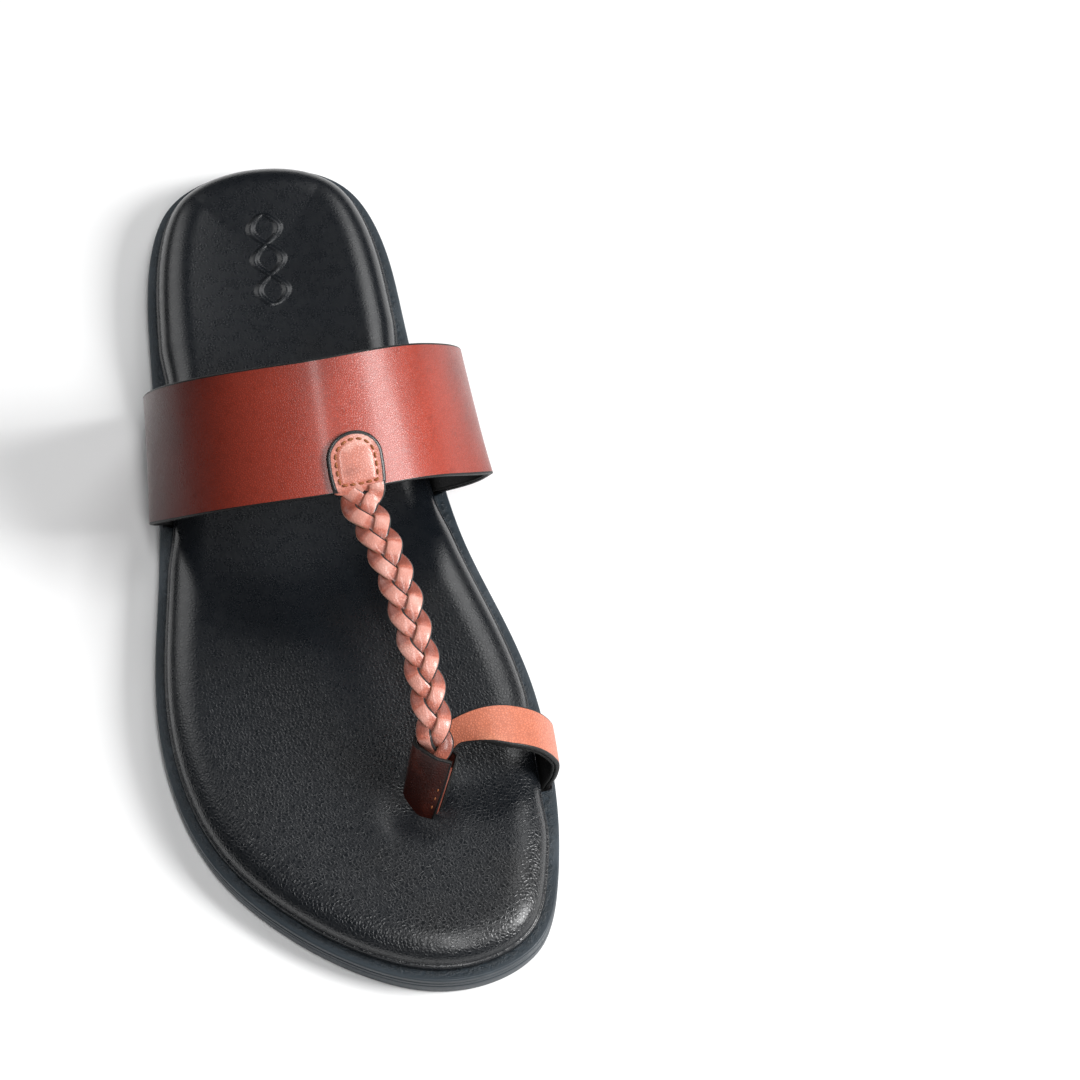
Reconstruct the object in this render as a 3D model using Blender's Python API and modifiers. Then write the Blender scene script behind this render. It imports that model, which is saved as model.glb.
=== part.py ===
"""Toe-loop flip flop with a broad instep band and a braided centre strap, for the right foot.

The frame is in metres, +Z up, with the toe towards -Y and the big-toe side towards +X. The origin
lies on the ground under the middle of the sole. Every strap is a ruled strip carried along a path,
and its ends turn under the footbed into channels of the outsole.
"""

import math

import bmesh
import bpy
import numpy as np
from mathutils import Matrix, Vector

# ---- driving dimensions, in metres ------------------------------------------------------------
SOLE_LENGTH = 0.280
FOREPART_WIDTH = 0.1074
HEEL_WIDTH = 0.0756
CLEARANCE = 0.0003
OUTLINE_COUNT = 88

OUTSOLE_THICKNESS = 0.0076
OUTSOLE_EDGE_RADIUS = 0.0008
LEDGE_WIDTH = 0.0028
STRAP_RECESS = 0.0014
RECESS_RUN = 0.016
POCKET_INSET = 0.0080
SIDE_GROOVE_RADIUS = 0.00045
SIDE_GROOVE_HEIGHT = 0.0052
TREAD_DEPTH = 0.0014
TREAD_GROOVE = 0.0026
TREAD_PITCH = 0.0115
TREAD_MARGIN = 0.010

COVER_LEATHER = 0.0011
COVER_MARGIN = 0.0090
COVER_CORNER = 0.0016
BOARD_THICKNESS = 0.0018
FOOTBED_HEIGHT = 0.0085
CROWN_WIDTH = 0.0085
CROWN_HEIGHT = 0.0052
HEEL_CUP_RISE = 0.0024
ARCH_RISE = 0.0016

BAND_WIDTH = 0.0383
BAND_FOOT_WIDTH = 0.0425
BAND_TWIST_HEIGHT = 0.045
BAND_Y = 0.0380
BAND_LEAN = math.radians(29.0)
BAND_HEIGHT = 0.0610
BAND_LEATHER = 0.0014
BAND_LINING = 0.0009
BAND_LATERAL_BULGE = 0.0012
BAND_MEDIAL_BULGE = 0.0112
BAND_SET_BACK = 0.0027
SET_BACK_HEIGHT = 0.020
BAND_STATIONS = 64
BAND_COLUMNS = 7
STRAP_TUCK = 0.0120
TUCK_RADIUS = 0.0022

LOOP_WIDTH = 0.0130
LOOP_Y = -0.0785
LOOP_PEAK = 0.0360
LOOP_LEATHER = 0.0014
LOOP_LINING = 0.0009

TAB_WIDTH = 0.0150
TAB_REACH = 0.0166
TAB_OVERHANG = 0.0014
TAB_LEATHER = 0.0015
TAB_OFFSET = 0.0140
STITCH_INSET = 0.0018
THREAD_RADIUS = 0.00030

STRAND_RADIUS = 0.0013
BRAID_RISE = 0.0045
BRAID_STATIONS = 54
BRAID_BOW = 0.0026

POST_FOOT = Vector((0.0170, -0.0945, 0.0))
POST_TOP = Vector((0.0256, -0.0816, 0.0335))
POST_TOP_WIDTH = 0.0130
POST_FOOT_WIDTH = 0.0095
POST_TURN = math.radians(-40.0)
POST_LEATHER = 0.0012
POST_CORE = 0.0024
CORE_DEPTH = 0.0050
ANCHOR_LENGTH = 0.0240
ANCHOR_WIDTH = 0.0150
ANCHOR_THICKNESS = 0.0011

# ---- heights and insets that follow from the driving dimensions ---------------------------------
BAND_STACK = BAND_LEATHER + BAND_LINING + CLEARANCE
LOOP_STACK = LOOP_LEATHER + LOOP_LINING + CLEARANCE
POCKET_FLOOR = OUTSOLE_THICKNESS - max(BAND_STACK, LOOP_STACK) - CLEARANCE
COVER_BOTTOM = OUTSOLE_THICKNESS + CLEARANCE
BOARD_BOTTOM = COVER_BOTTOM + COVER_LEATHER + CLEARANCE
FOAM_BOTTOM = BOARD_BOTTOM + BOARD_THICKNESS + CLEARANCE
INNER_STEP = COVER_LEATHER + CLEARANCE
CHANNEL_INSET = LEDGE_WIDTH + STRAP_RECESS - max(BAND_STACK, LOOP_STACK) - 2 * CLEARANCE
FLANGE_INSET = LEDGE_WIDTH + COVER_MARGIN
BRAID_LAY = 16.87 * STRAND_RADIUS
BRAID_SWING = 3 * STRAND_RADIUS
BRAID_DEPTH = 1.25 * STRAND_RADIUS + CLEARANCE
BRAID_GAP = STRAND_RADIUS + 4 * CLEARANCE

# Outline of the sole: share of the length from the heel, and half breadths towards the little toe
# and the big toe, as shares of the heel's width behind the waist and of the forepart's before it.
HEEL_SHAPE = [(0.036, 0.357, 0.345), (0.09, 0.450, 0.442), (0.21, 0.505, 0.495), (0.36, 0.532, 0.528)]
FORE_SHAPE = [
    (0.50, 0.407, 0.414),
    (0.60, 0.443, 0.484),
    (0.68, 0.455, 0.530),
    (0.76, 0.432, 0.546),
    (0.84, 0.358, 0.539),
    (0.91, 0.217, 0.509),
    (0.965, 0.040, 0.450),
]
TOE_TIP_SHARE = 0.245

MODEL = "toe_loop_flip_flop"


# ---- outline -----------------------------------------------------------------------------------
def closed_curve(points, count):
    """Even points on the smooth closed cubic curve through the given ones."""
    knots = np.array(points, float)
    n = len(knots)
    step = np.linalg.norm(np.roll(knots, -1, 0) - knots, axis=1)
    before = np.roll(step, 1)
    system = np.diag(2 * (step + before))
    for i in range(n):
        system[i, (i + 1) % n] += before[i]
        system[i, i - 1] += step[i]
    slope = (np.roll(knots, -1, 0) - knots) / step[:, None]
    right = 3 * (before[:, None] * slope + step[:, None] * np.roll(slope, 1, 0))
    tangent = np.linalg.solve(system, right)
    fine = []
    for i in range(n):
        t = np.linspace(0, 1, 40, endpoint=False)[:, None]
        a, b = knots[i], knots[(i + 1) % n]
        da, db = tangent[i] * step[i], tangent[(i + 1) % n] * step[i]
        fine.append((2 * t**3 - 3 * t**2 + 1) * a + (t**3 - 2 * t**2 + t) * da
                    + (3 * t**2 - 2 * t**3) * b + (t**3 - t**2) * db)
    fine = np.vstack(fine)
    ring = np.vstack([fine, fine[:1]])
    run = np.concatenate([[0], np.cumsum(np.linalg.norm(np.diff(ring, axis=0), axis=1))])
    even = np.linspace(0, run[-1], count, endpoint=False)
    return np.stack([np.interp(even, run, ring[:, k]) for k in range(2)], axis=1)


def sole_points():
    """The outline's own points, counter-clockwise seen from above, from the heel's back."""
    heel = SOLE_LENGTH / 2
    side = [(s, a * HEEL_WIDTH, b * HEEL_WIDTH) for s, a, b in HEEL_SHAPE]
    side += [(s, a * FOREPART_WIDTH, b * FOREPART_WIDTH) for s, a, b in FORE_SHAPE]
    lateral = [(-a, heel - s * SOLE_LENGTH) for s, a, b in side]
    medial = [(b, heel - s * SOLE_LENGTH) for s, a, b in side]
    return [(0, heel)] + lateral + [(TOE_TIP_SHARE * FOREPART_WIDTH, -heel)] + medial[::-1]


def inward(points):
    """Unit normals that point into a counter-clockwise outline."""
    along = np.roll(points, -1, 0) - np.roll(points, 1, 0)
    along /= np.linalg.norm(along, axis=1)[:, None]
    return np.stack([-along[:, 1], along[:, 0]], axis=1)


SOLE = closed_curve(sole_points(), OUTLINE_COUNT)
SOLE_IN = inward(SOLE)


def outline(inset):
    """The sole's outline moved inwards by inset."""
    return SOLE + SOLE_IN * inset


def strap_seats():
    """Side and y range of each strap end."""
    band = (BAND_Y - BAND_FOOT_WIDTH / 2, BAND_Y + BAND_FOOT_WIDTH / 2)
    loop = (LOOP_Y - LOOP_WIDTH / 2, LOOP_Y + LOOP_WIDTH / 2)
    return [(-1, *band), (1, *band), (1, *loop)]


def recess_shares():
    """How far each outline point is drawn in to make room for the straps, from 0 to 1."""
    shares = np.zeros(len(SOLE))
    for side, low, high in strap_seats():
        beyond = np.maximum(low - SOLE[:, 1], SOLE[:, 1] - high)
        ramp = np.clip(1 - (beyond - 0.002) / RECESS_RUN, 0, 1)
        shares = np.maximum(shares, np.where(SOLE[:, 0] * side > 0, ramp**2 * (3 - 2 * ramp), 0))
    return shares


SEAT_RECESS = recess_shares()


def footbed_line(inset):
    """The footbed's outline at an inset, drawn in beside each strap and even again further in."""
    fade = max(0.0, 1 - max(0.0, inset - LEDGE_WIDTH) / CROWN_WIDTH)
    return SOLE + SOLE_IN * (inset + STRAP_RECESS * fade * SEAT_RECESS)[:, None]


def edge_x(side, y, inset=0.0):
    """x of the inset outline at y, on the little-toe side (-1) or the big-toe side (1)."""
    ring = outline(inset)
    chosen = ring[ring[:, 0] * side > 0]
    order = np.argsort(chosen[:, 1])
    return float(np.interp(y, chosen[order, 1], chosen[order, 0]))


def footbed_rise(x, y):
    """Height that the footbed's contour adds to its flat top: heel cup and arch."""
    middle = (edge_x(1, y) + edge_x(-1, y)) / 2
    half = (edge_x(1, y) - edge_x(-1, y)) / 2
    across = min(1.0, abs(x - middle) / half)
    heel_start = SOLE_LENGTH * 0.12
    heel = min(1.0, max(0.0, (y - heel_start) / (SOLE_LENGTH * 0.2)))
    back = max(0.0, (y - SOLE_LENGTH * 0.36) / (SOLE_LENGTH * 0.14))
    cup = HEEL_CUP_RISE * heel * max(across**2, min(1.0, back) ** 2)
    arch = math.exp(-((y - BAND_Y) / (SOLE_LENGTH * 0.16)) ** 2)
    return cup + ARCH_RISE * arch * max(0.0, (x - middle) / half) ** 2


# ---- mesh helpers --------------------------------------------------------------------------------
def collection(name):
    found = bpy.data.collections.new(name)
    bpy.context.scene.collection.children.link(found)
    return found


def material(name, colour, roughness, metallic=0.0):
    made = bpy.data.materials.new(name)
    made.use_nodes = True
    shader = made.node_tree.nodes["Principled BSDF"]
    shader.inputs["Base Color"].default_value = (*colour, 1.0)
    shader.inputs["Roughness"].default_value = roughness
    shader.inputs["Metallic"].default_value = metallic
    return made


def place(name, mesh, home, finish=None, smooth=True):
    """A new object with this mesh, in a collection, with its material."""
    made = bpy.data.objects.new(name, mesh)
    home.objects.link(made)
    if finish is not None:
        mesh.materials.append(finish)
    if smooth:
        mesh.shade_smooth()
        mesh.set_sharp_from_angle(angle=math.radians(35))
    return made


def as_cutter(made):
    made.hide_render = True
    made.display_type = "WIRE"
    return made


def curve_mesh(curve, name):
    """The welded mesh of a curve, which is then removed."""
    temporary = bpy.data.objects.new(name, curve)
    bpy.context.scene.collection.objects.link(temporary)
    bpy.context.view_layer.update()
    mesh = bpy.data.meshes.new_from_object(temporary.evaluated_get(bpy.context.evaluated_depsgraph_get()))
    bpy.data.objects.remove(temporary)
    bpy.data.curves.remove(curve)
    bm = bmesh.new()
    bm.from_mesh(mesh)
    bmesh.ops.remove_doubles(bm, verts=bm.verts, dist=1e-6)
    bmesh.ops.recalc_face_normals(bm, faces=bm.faces)
    bm.to_mesh(mesh)
    bm.free()
    mesh.name = name
    return mesh


def slab_mesh(name, points, low, high):
    """A flat piece: a filled 2D outline with a thickness, from height low to high."""
    curve = bpy.data.curves.new(name, "CURVE")
    curve.dimensions = "2D"
    curve.fill_mode = "BOTH"
    curve.extrude = (high - low) / 2
    spline = curve.splines.new("POLY")
    spline.points.add(len(points) - 1)
    for point, (x, y) in zip(spline.points, points):
        point.co = (x, y, 0.0, 1.0)
    spline.use_cyclic_u = True
    mesh = curve_mesh(curve, name)
    mesh.transform(Matrix.Translation((0, 0, (low + high) / 2)))
    return mesh


def tube_mesh(name, points, radius, cyclic=False):
    """A round thread, cord or groove along points, with filled ends."""
    curve = bpy.data.curves.new(name, "CURVE")
    curve.dimensions = "3D"
    curve.bevel_depth = radius
    curve.bevel_resolution = 2
    curve.use_fill_caps = not cyclic
    spline = curve.splines.new("POLY")
    spline.points.add(len(points) - 1)
    for point, place_of in zip(spline.points, points):
        point.co = (*place_of, 1.0)
    spline.use_cyclic_u = cyclic
    return curve_mesh(curve, name)


def grid_mesh(name, rows):
    """An open sheet through rows of points."""
    count = len(rows[0])
    points = [tuple(p) for row in rows for p in row]
    faces = [
        (i * count + j, i * count + j + 1, (i + 1) * count + j + 1, (i + 1) * count + j)
        for i in range(len(rows) - 1)
        for j in range(count - 1)
    ]
    mesh = bpy.data.meshes.new(name)
    mesh.from_pydata(points, [], faces)
    return mesh


def ring_mesh(name, rings, capped_first):
    """A sheet through closed rings of points; the last ring is capped, the first one if asked."""
    count = len(rings[0])
    points = [tuple(p) for ring in rings for p in ring]
    faces = []
    for i in range(len(rings) - 1):
        for j in range(count):
            k = (j + 1) % count
            faces.append((i * count + j, i * count + k, (i + 1) * count + k, (i + 1) * count + j))
    last = (len(rings) - 1) * count
    faces.append(tuple(range(last, last + count)))
    if capped_first:
        faces.append(tuple(reversed(range(count))))
    mesh = bpy.data.meshes.new(name)
    mesh.from_pydata(points, [], faces)
    bm = bmesh.new()
    bm.from_mesh(mesh)
    caps = [f for f in bm.faces if len(f.verts) > 4]
    bmesh.ops.triangulate(bm, faces=caps, ngon_method="BEAUTY")
    bm.to_mesh(mesh)
    bm.free()
    return mesh


def cut(piece, cutter, operation="DIFFERENCE"):
    modifier = piece.modifiers.new(cutter.name, "BOOLEAN")
    modifier.object = cutter
    modifier.operation = operation
    modifier.solver = "EXACT"


def thicken(piece, thickness, offset):
    modifier = piece.modifiers.new("leather", "SOLIDIFY")
    modifier.thickness = thickness
    modifier.offset = offset
    modifier.use_even_offset = True


# ---- sole ----------------------------------------------------------------------------------------
def channel_points(side, low, high):
    """Plan of the channel in which a strap end lies, from the ledge into the pocket."""
    ys = np.linspace(low - 4 * CLEARANCE, high + 4 * CLEARANCE, 9)
    outer = [(edge_x(side, y, CHANNEL_INSET), y) for y in ys]
    inner = side * 0.4 * abs(edge_x(side, (low + high) / 2))
    return outer + [(inner, ys[-1]), (inner, ys[0])]


def tread_mesh():
    """Cross grooves under the forepart and the heel, as boxes in one mesh."""
    bm = bmesh.new()
    reach = SOLE_LENGTH / 2 - TREAD_MARGIN - TREAD_PITCH
    count = int(reach / TREAD_PITCH)
    for step in range(-count, count + 1):
        y = step * TREAD_PITCH
        if -0.06 * SOLE_LENGTH < y < 0.16 * SOLE_LENGTH:
            continue
        left = max(edge_x(-1, y + d, TREAD_MARGIN) for d in (-TREAD_GROOVE, TREAD_GROOVE))
        right = min(edge_x(1, y + d, TREAD_MARGIN) for d in (-TREAD_GROOVE, TREAD_GROOVE))
        box = bmesh.ops.create_cube(bm, size=1.0)["verts"]
        bmesh.ops.scale(bm, vec=(right - left, TREAD_GROOVE, 2 * TREAD_DEPTH), verts=box)
        bmesh.ops.translate(bm, vec=((left + right) / 2, y, 0), verts=box)
    mesh = bpy.data.meshes.new("tread_cutter")
    bm.to_mesh(mesh)
    bm.free()
    return mesh


def build_outsole(parts, cutters, finish):
    outsole = place("outsole", slab_mesh("outsole", outline(0), 0, OUTSOLE_THICKNESS), parts, finish)
    edge = outsole.modifiers.new("edges", "BEVEL")
    edge.width = OUTSOLE_EDGE_RADIUS
    edge.segments = 2
    edge.limit_method = "ANGLE"
    edge.angle_limit = math.radians(50)
    high = OUTSOLE_THICKNESS + 0.004
    pocket = as_cutter(place("pocket_cutter", slab_mesh("pocket_cutter", outline(POCKET_INSET),
                                                        POCKET_FLOOR, high), cutters))
    cut(outsole, pocket)
    for number, (side, low, top) in enumerate(strap_seats()):
        mesh = slab_mesh(f"channel_cutter_{number}", channel_points(side, low, top), POCKET_FLOOR, high)
        cut(outsole, as_cutter(place(f"channel_cutter_{number}", mesh, cutters)))
    path = [(x, y, SIDE_GROOVE_HEIGHT) for x, y in outline(-SIDE_GROOVE_RADIUS * 0.2)]
    groove = tube_mesh("side_groove_cutter", path, SIDE_GROOVE_RADIUS, cyclic=True)
    cut(outsole, as_cutter(place("side_groove_cutter", groove, cutters)))
    cut(outsole, as_cutter(place("tread_cutter", tread_mesh(), cutters)))


def build_filler(parts, cutters, finish):
    """Soft filler sheet in the pocket, stepped up inside the cover's turned-in margin."""
    low = POCKET_FLOOR + CLEARANCE
    sheet = slab_mesh("sole_filler", outline(POCKET_INSET + CLEARANCE), low, OUTSOLE_THICKNESS)
    filler = place("sole_filler", sheet, parts, finish)
    step = slab_mesh("filler_step", outline(FLANGE_INSET + CLEARANCE), low + 0.001,
                     BOARD_BOTTOM - CLEARANCE)
    cut(filler, as_cutter(place("filler_step", step, cutters)), "UNION")
    gap = 2 * CLEARANCE
    for number, (side, seat_low, seat_high) in enumerate(strap_seats()):
        y = (seat_low + seat_high) / 2
        tip = abs(edge_x(side, y)) - LEDGE_WIDTH - TUCK_RADIUS - STRAP_TUCK - 0.0015
        ys = (seat_low - gap, seat_high + gap)
        points = [(side * tip, ys[0]), (side * 0.09, ys[0]), (side * 0.09, ys[1]), (side * tip, ys[1])]
        if side < 0:
            points.reverse()
        mesh = slab_mesh(f"tuck_cutter_{number}", points, 0, 0.02)
        cut(filler, as_cutter(place(f"tuck_cutter_{number}", mesh, cutters)))


def footbed_rings(step):
    """Rings of the footbed's skin, step inside its outer face: up the side, over the crown, in."""
    side = LEDGE_WIDTH + step
    top = COVER_BOTTOM + FOOTBED_HEIGHT - step
    profile = [(side, top - CROWN_HEIGHT)]
    for angle in (20, 40, 58, 74, 90):
        a = math.radians(angle)
        profile.append((side + CROWN_WIDTH * (1 - math.cos(a)), top - CROWN_HEIGHT * (1 - math.sin(a))))
    rings = []
    for inset, z in profile:
        share = (z - (top - CROWN_HEIGHT)) / CROWN_HEIGHT
        rings.append([(x, y, z + share * footbed_rise(x, y)) for x, y in footbed_line(inset)])
    inner = footbed_line(profile[-1][0])
    for share in (0.3, 0.6, 0.85):
        ring = []
        for x, y in inner:
            spine_y = min(max(y, -0.32 * SOLE_LENGTH), 0.36 * SOLE_LENGTH)
            spine_x = (edge_x(1, spine_y) + edge_x(-1, spine_y)) / 2
            px, py = x + (spine_x - x) * share, y + (spine_y - y) * share
            ring.append((px, py, top + footbed_rise(px, py)))
        rings.append(ring)
    return rings


def build_footbed(parts, cutters, finishes, slot):
    """Board, foam and the leather cover that wraps them, all with the toe post's slot."""
    board = slab_mesh("insole_board", footbed_line(LEDGE_WIDTH + INNER_STEP), BOARD_BOTTOM,
                      BOARD_BOTTOM + BOARD_THICKNESS)
    cut(place("insole_board", board, parts, finishes["board"]), slot)

    foam_base = [(x, y, FOAM_BOTTOM) for x, y in footbed_line(LEDGE_WIDTH + INNER_STEP)]
    foam = ring_mesh("footbed_foam", [foam_base] + footbed_rings(INNER_STEP)[1:], True)
    cut(place("footbed_foam", foam, parts, finishes["foam"]), slot)

    skirt = [(FLANGE_INSET, COVER_BOTTOM)]
    for angle in (0, 30, 60, 90):
        a = math.radians(angle)
        skirt.append((LEDGE_WIDTH + COVER_CORNER * (1 - math.sin(a)),
                      COVER_BOTTOM + COVER_CORNER * (1 - math.cos(a))))
    rings = [[(x, y, z) for x, y in footbed_line(inset)] for inset, z in skirt]
    mesh = ring_mesh("footbed_cover", rings + footbed_rings(0.0), False)
    cover = place("footbed_cover", mesh, parts, finishes["cover"])
    thicken(cover, COVER_LEATHER, -1.0)
    cut(cover, slot)


# ---- straps --------------------------------------------------------------------------------------
def smooth_path(points, count):
    """Even points on the smooth open curve through the given ones."""
    knots = [Vector(p) for p in points]
    fine = []
    for i in range(len(knots) - 1):
        a, b = knots[i], knots[i + 1]
        before = knots[i - 1] if i else a * 2 - b
        after = knots[i + 2] if i + 2 < len(knots) else b * 2 - a
        length = (b - a).length
        hand_a = (b - before) * (length / ((b - a).length + (a - before).length)) / 3
        hand_b = (after - a) * (length / ((after - b).length + (b - a).length)) / 3
        for k in range(24):
            t = k / 24
            s = 1 - t
            fine.append(a * s**3 + (a + hand_a) * 3 * s * s * t + (b - hand_b) * 3 * s * t * t + b * t**3)
    fine.append(knots[-1])
    fine = np.array(fine)
    run = np.concatenate([[0], np.cumsum(np.linalg.norm(np.diff(fine, axis=0), axis=1))])
    even = np.linspace(0, run[-1], count)
    return np.stack([np.interp(even, run, fine[:, k]) for k in range(fine.shape[1])], axis=1)


def tuck(side, edge, stack_out):
    """Strap end in section, from its tip under the footbed round to its rise at the ledge."""
    inset = CHANNEL_INSET + CLEARANCE + stack_out
    centre_x = edge - inset - TUCK_RADIUS
    floor = POCKET_FLOOR + CLEARANCE + stack_out
    centre_z = floor + TUCK_RADIUS
    points = [(centre_x - STRAP_TUCK, floor), (centre_x - STRAP_TUCK / 2, floor)]
    for angle in (0, 30, 60, 90):
        a = math.radians(angle)
        points.append((centre_x + TUCK_RADIUS * math.sin(a), centre_z - TUCK_RADIUS * math.cos(a)))
    return [(side * x, z - OUTSOLE_THICKNESS) for x, z in points]


def layer(grid, distance):
    """A sheet of points moved out along its own normals by a distance."""
    along = np.gradient(grid, axis=0)
    across = np.gradient(grid, axis=1)
    normal = np.cross(along, across)
    return grid + normal / np.linalg.norm(normal, axis=2)[:, :, None] * distance


def smooth_share(value):
    """0 below 0, 1 above 1 and a smooth rise between them."""
    share = min(1.0, max(0.0, value))
    return share * share * (3 - 2 * share)


def band_section():
    """The band in section: x and height above the ledge, from the little-toe end to the other."""
    lateral, medial = -edge_x(-1, BAND_Y), edge_x(1, BAND_Y)
    left = lateral + BAND_LATERAL_BULGE
    right = medial + BAND_MEDIAL_BULGE
    top = BAND_HEIGHT
    span = left + right
    arch = [
        (-left, 0.34 * top), (-left + 0.055 * span, 0.62 * top), (-left + 0.20 * span, 0.86 * top),
        (-left + 0.40 * span, 0.985 * top), (-left + 0.60 * span, top),
        (-left + 0.80 * span, 0.88 * top), (-left + 0.94 * span, 0.63 * top),
        (right, 0.38 * top), (right - 0.030 * span, 0.19 * top),
    ]
    stack_out = BAND_LEATHER + CLEARANCE / 2
    start = tuck(-1, lateral, stack_out)
    end = tuck(1, medial, stack_out)[::-1]
    return smooth_path(start + arch + end, BAND_STATIONS)


def band_point(x, height, v):
    """World point of the band at section place x, height and share v across its width, -1 to 1."""
    grow = smooth_share(height / BAND_TWIST_HEIGHT)
    half = (BAND_FOOT_WIDTH * (1 - grow) + BAND_WIDTH * math.cos(BAND_LEAN) * grow) / 2
    up = max(0.0, height)
    y = BAND_Y - up * math.sin(BAND_LEAN) + v * half
    y += BAND_SET_BACK * smooth_share(x / edge_x(1, BAND_Y)) * smooth_share(up / SET_BACK_HEIGHT)
    z = OUTSOLE_THICKNESS + min(0.0, height) + up * math.cos(BAND_LEAN)
    z += grow * v * BAND_WIDTH / 2 * math.sin(BAND_LEAN)
    seat_y = BAND_Y + v * BAND_FOOT_WIDTH / 2
    left = edge_x(-1, seat_y) / edge_x(-1, BAND_Y)
    right = edge_x(1, seat_y) / edge_x(1, BAND_Y)
    share = smooth_share(x / (2 * edge_x(1, BAND_Y)) + 0.5)
    return x * (left * (1 - share) + right * share), y, z


def band_grid():
    """The band's own sheet, between its leather and its lining."""
    shares = np.linspace(-1, 1, BAND_COLUMNS)
    return np.array([[band_point(x, h, v) for v in shares] for x, h in band_section()])


def build_strip(name, grid, distance, thickness, parts, finish):
    """One layer of a strap: a sheet at a distance from the strap's own sheet, given its thickness."""
    strip = place(name, grid_mesh(name, layer(grid, distance)), parts, finish)
    thicken(strip, thickness, 0.0)


def build_band(parts, finishes):
    grid = band_grid()
    build_strip("instep_band", grid, (CLEARANCE + BAND_LEATHER) / 2, BAND_LEATHER, parts,
                finishes["band"])
    build_strip("instep_band_lining", grid, -(CLEARANCE + BAND_LINING) / 2, BAND_LINING, parts,
                finishes["lining"])


# ---- braid tab and braid ---------------------------------------------------------------------------
def tab_half_width(along):
    """Half width of the tab at a distance from its rounded rear end."""
    radius = TAB_WIDTH / 2
    if along < radius:
        return math.sqrt(radius**2 - (radius - along) ** 2)
    return radius - 0.06 * (along - radius)


def band_place(across, along):
    """Point on the band's own sheet: across from the tab's middle, along from the front edge."""
    section = band_section()
    top = section[section[:, 1] > 0.5 * BAND_HEIGHT]
    run = np.concatenate([[0], np.cumsum(np.linalg.norm(np.diff(top, axis=0), axis=1))])
    place_of = np.interp(TAB_OFFSET, top[:, 0], run) + across
    x, height = (np.interp(place_of, run, top[:, k]) for k in range(2))
    return band_point(x, height, -1 + along / (BAND_WIDTH / 2))


def lifted(points, lift):
    """Points of the band's sheet at the tab, lifted off it along the sheet's normal there."""
    middle = Vector(band_place(0, 0))
    across = Vector(band_place(0.001, 0)) - middle
    along = Vector(band_place(0, 0.001)) - middle
    normal = across.cross(along).normalized()
    return [Vector(p) + normal * lift for p in points]


def build_tab(parts, finishes):
    face = CLEARANCE / 2 + BAND_LEATHER + CLEARANCE
    radius = TAB_WIDTH / 2
    length = TAB_REACH + TAB_OVERHANG
    rows = []
    stations = list(radius * (1 - np.cos(np.radians([14, 35, 55, 75, 90]))))
    for along in stations + list(np.linspace(radius, length, 5)[1:]):
        half = tab_half_width(along)
        rows.append([band_place(u * half, TAB_REACH - along) for u in np.linspace(-1, 1, 7)])
    sheet = layer(np.array(rows), face + TAB_LEATHER / 2)
    tab = place("braid_tab", grid_mesh("braid_tab", sheet), parts, finishes["braid"])
    thicken(tab, TAB_LEATHER, 0.0)
    above = face + TAB_LEATHER + CLEARANCE + THREAD_RADIUS
    below = -(CLEARANCE / 2 + BAND_LINING + CLEARANCE + THREAD_RADIUS)
    for name, lift in (("tab_needle_thread", above), ("tab_bobbin_thread", below)):
        row = [band_place(across, along) for across, along in stitch_line()]
        mesh = tube_mesh(name, lifted(row, lift), THREAD_RADIUS, cyclic=True)
        place(name, mesh, parts, finishes["thread"])


def stitch_line():
    """The tab's stitch row, as places across and along the band from its front edge."""
    radius = TAB_WIDTH / 2 - STITCH_INSET
    middle = TAB_REACH - TAB_WIDTH / 2
    base = STITCH_INSET
    points = [(-radius, middle * 0.6), (-radius, middle)]
    for angle in range(160, 0, -20):
        a = math.radians(angle)
        points.append((radius * math.cos(a), middle + radius * math.sin(a)))
    points += [(radius, middle), (radius, middle * 0.6), (radius * 0.93, base), (0.0, base),
               (-radius * 0.93, base)]
    return points


def braid_axis(share):
    """Point on the braid's middle line, from the tab's front end (0) to the post (1)."""
    start = lifted([band_place(0.0, -TAB_OVERHANG - BRAID_GAP)], CLEARANCE)[0]
    end = POST_TOP + Vector((0, STRAND_RADIUS, BRAID_DEPTH + STRAND_RADIUS))
    arc = 4 * share * (1 - share)
    return start.lerp(end, share) + Vector((BRAID_BOW * arc, 0, BRAID_RISE * arc))


def build_braid(parts, finish):
    """Three strands that swing across and over each other in turn, once in each lay."""
    turns = (braid_axis(1) - braid_axis(0)).length / BRAID_LAY
    for strand in range(3):
        path = []
        for i in range(BRAID_STATIONS):
            share = i / (BRAID_STATIONS - 1)
            ahead = (braid_axis(share + 0.01) - braid_axis(share - 0.01)).normalized()
            across = ahead.cross(Vector((0, 0, 1))).normalized()
            over = across.cross(ahead)
            phase = 2 * math.pi * (turns * share + strand / 3)
            swing = BRAID_SWING * math.sin(phase)
            lift = -BRAID_DEPTH * math.sin(2 * phase)
            path.append(braid_axis(share) + across * swing + over * lift)
        name = f"braid_strand_{strand + 1}"
        place(name, tube_mesh(name, path, STRAND_RADIUS), parts, finish)


# ---- toe loop --------------------------------------------------------------------------------------
def post_frame():
    """The post's own axes: along its width, through its thickness (rearwards), and up its length."""
    up = (POST_TOP - POST_FOOT).normalized()
    wide = Vector((math.cos(POST_TURN), math.sin(POST_TURN), 0))
    wide = (wide - up * wide.dot(up)).normalized()
    rear = up.cross(wide)
    return Matrix((wide, rear, up)).transposed().to_4x4()


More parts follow.
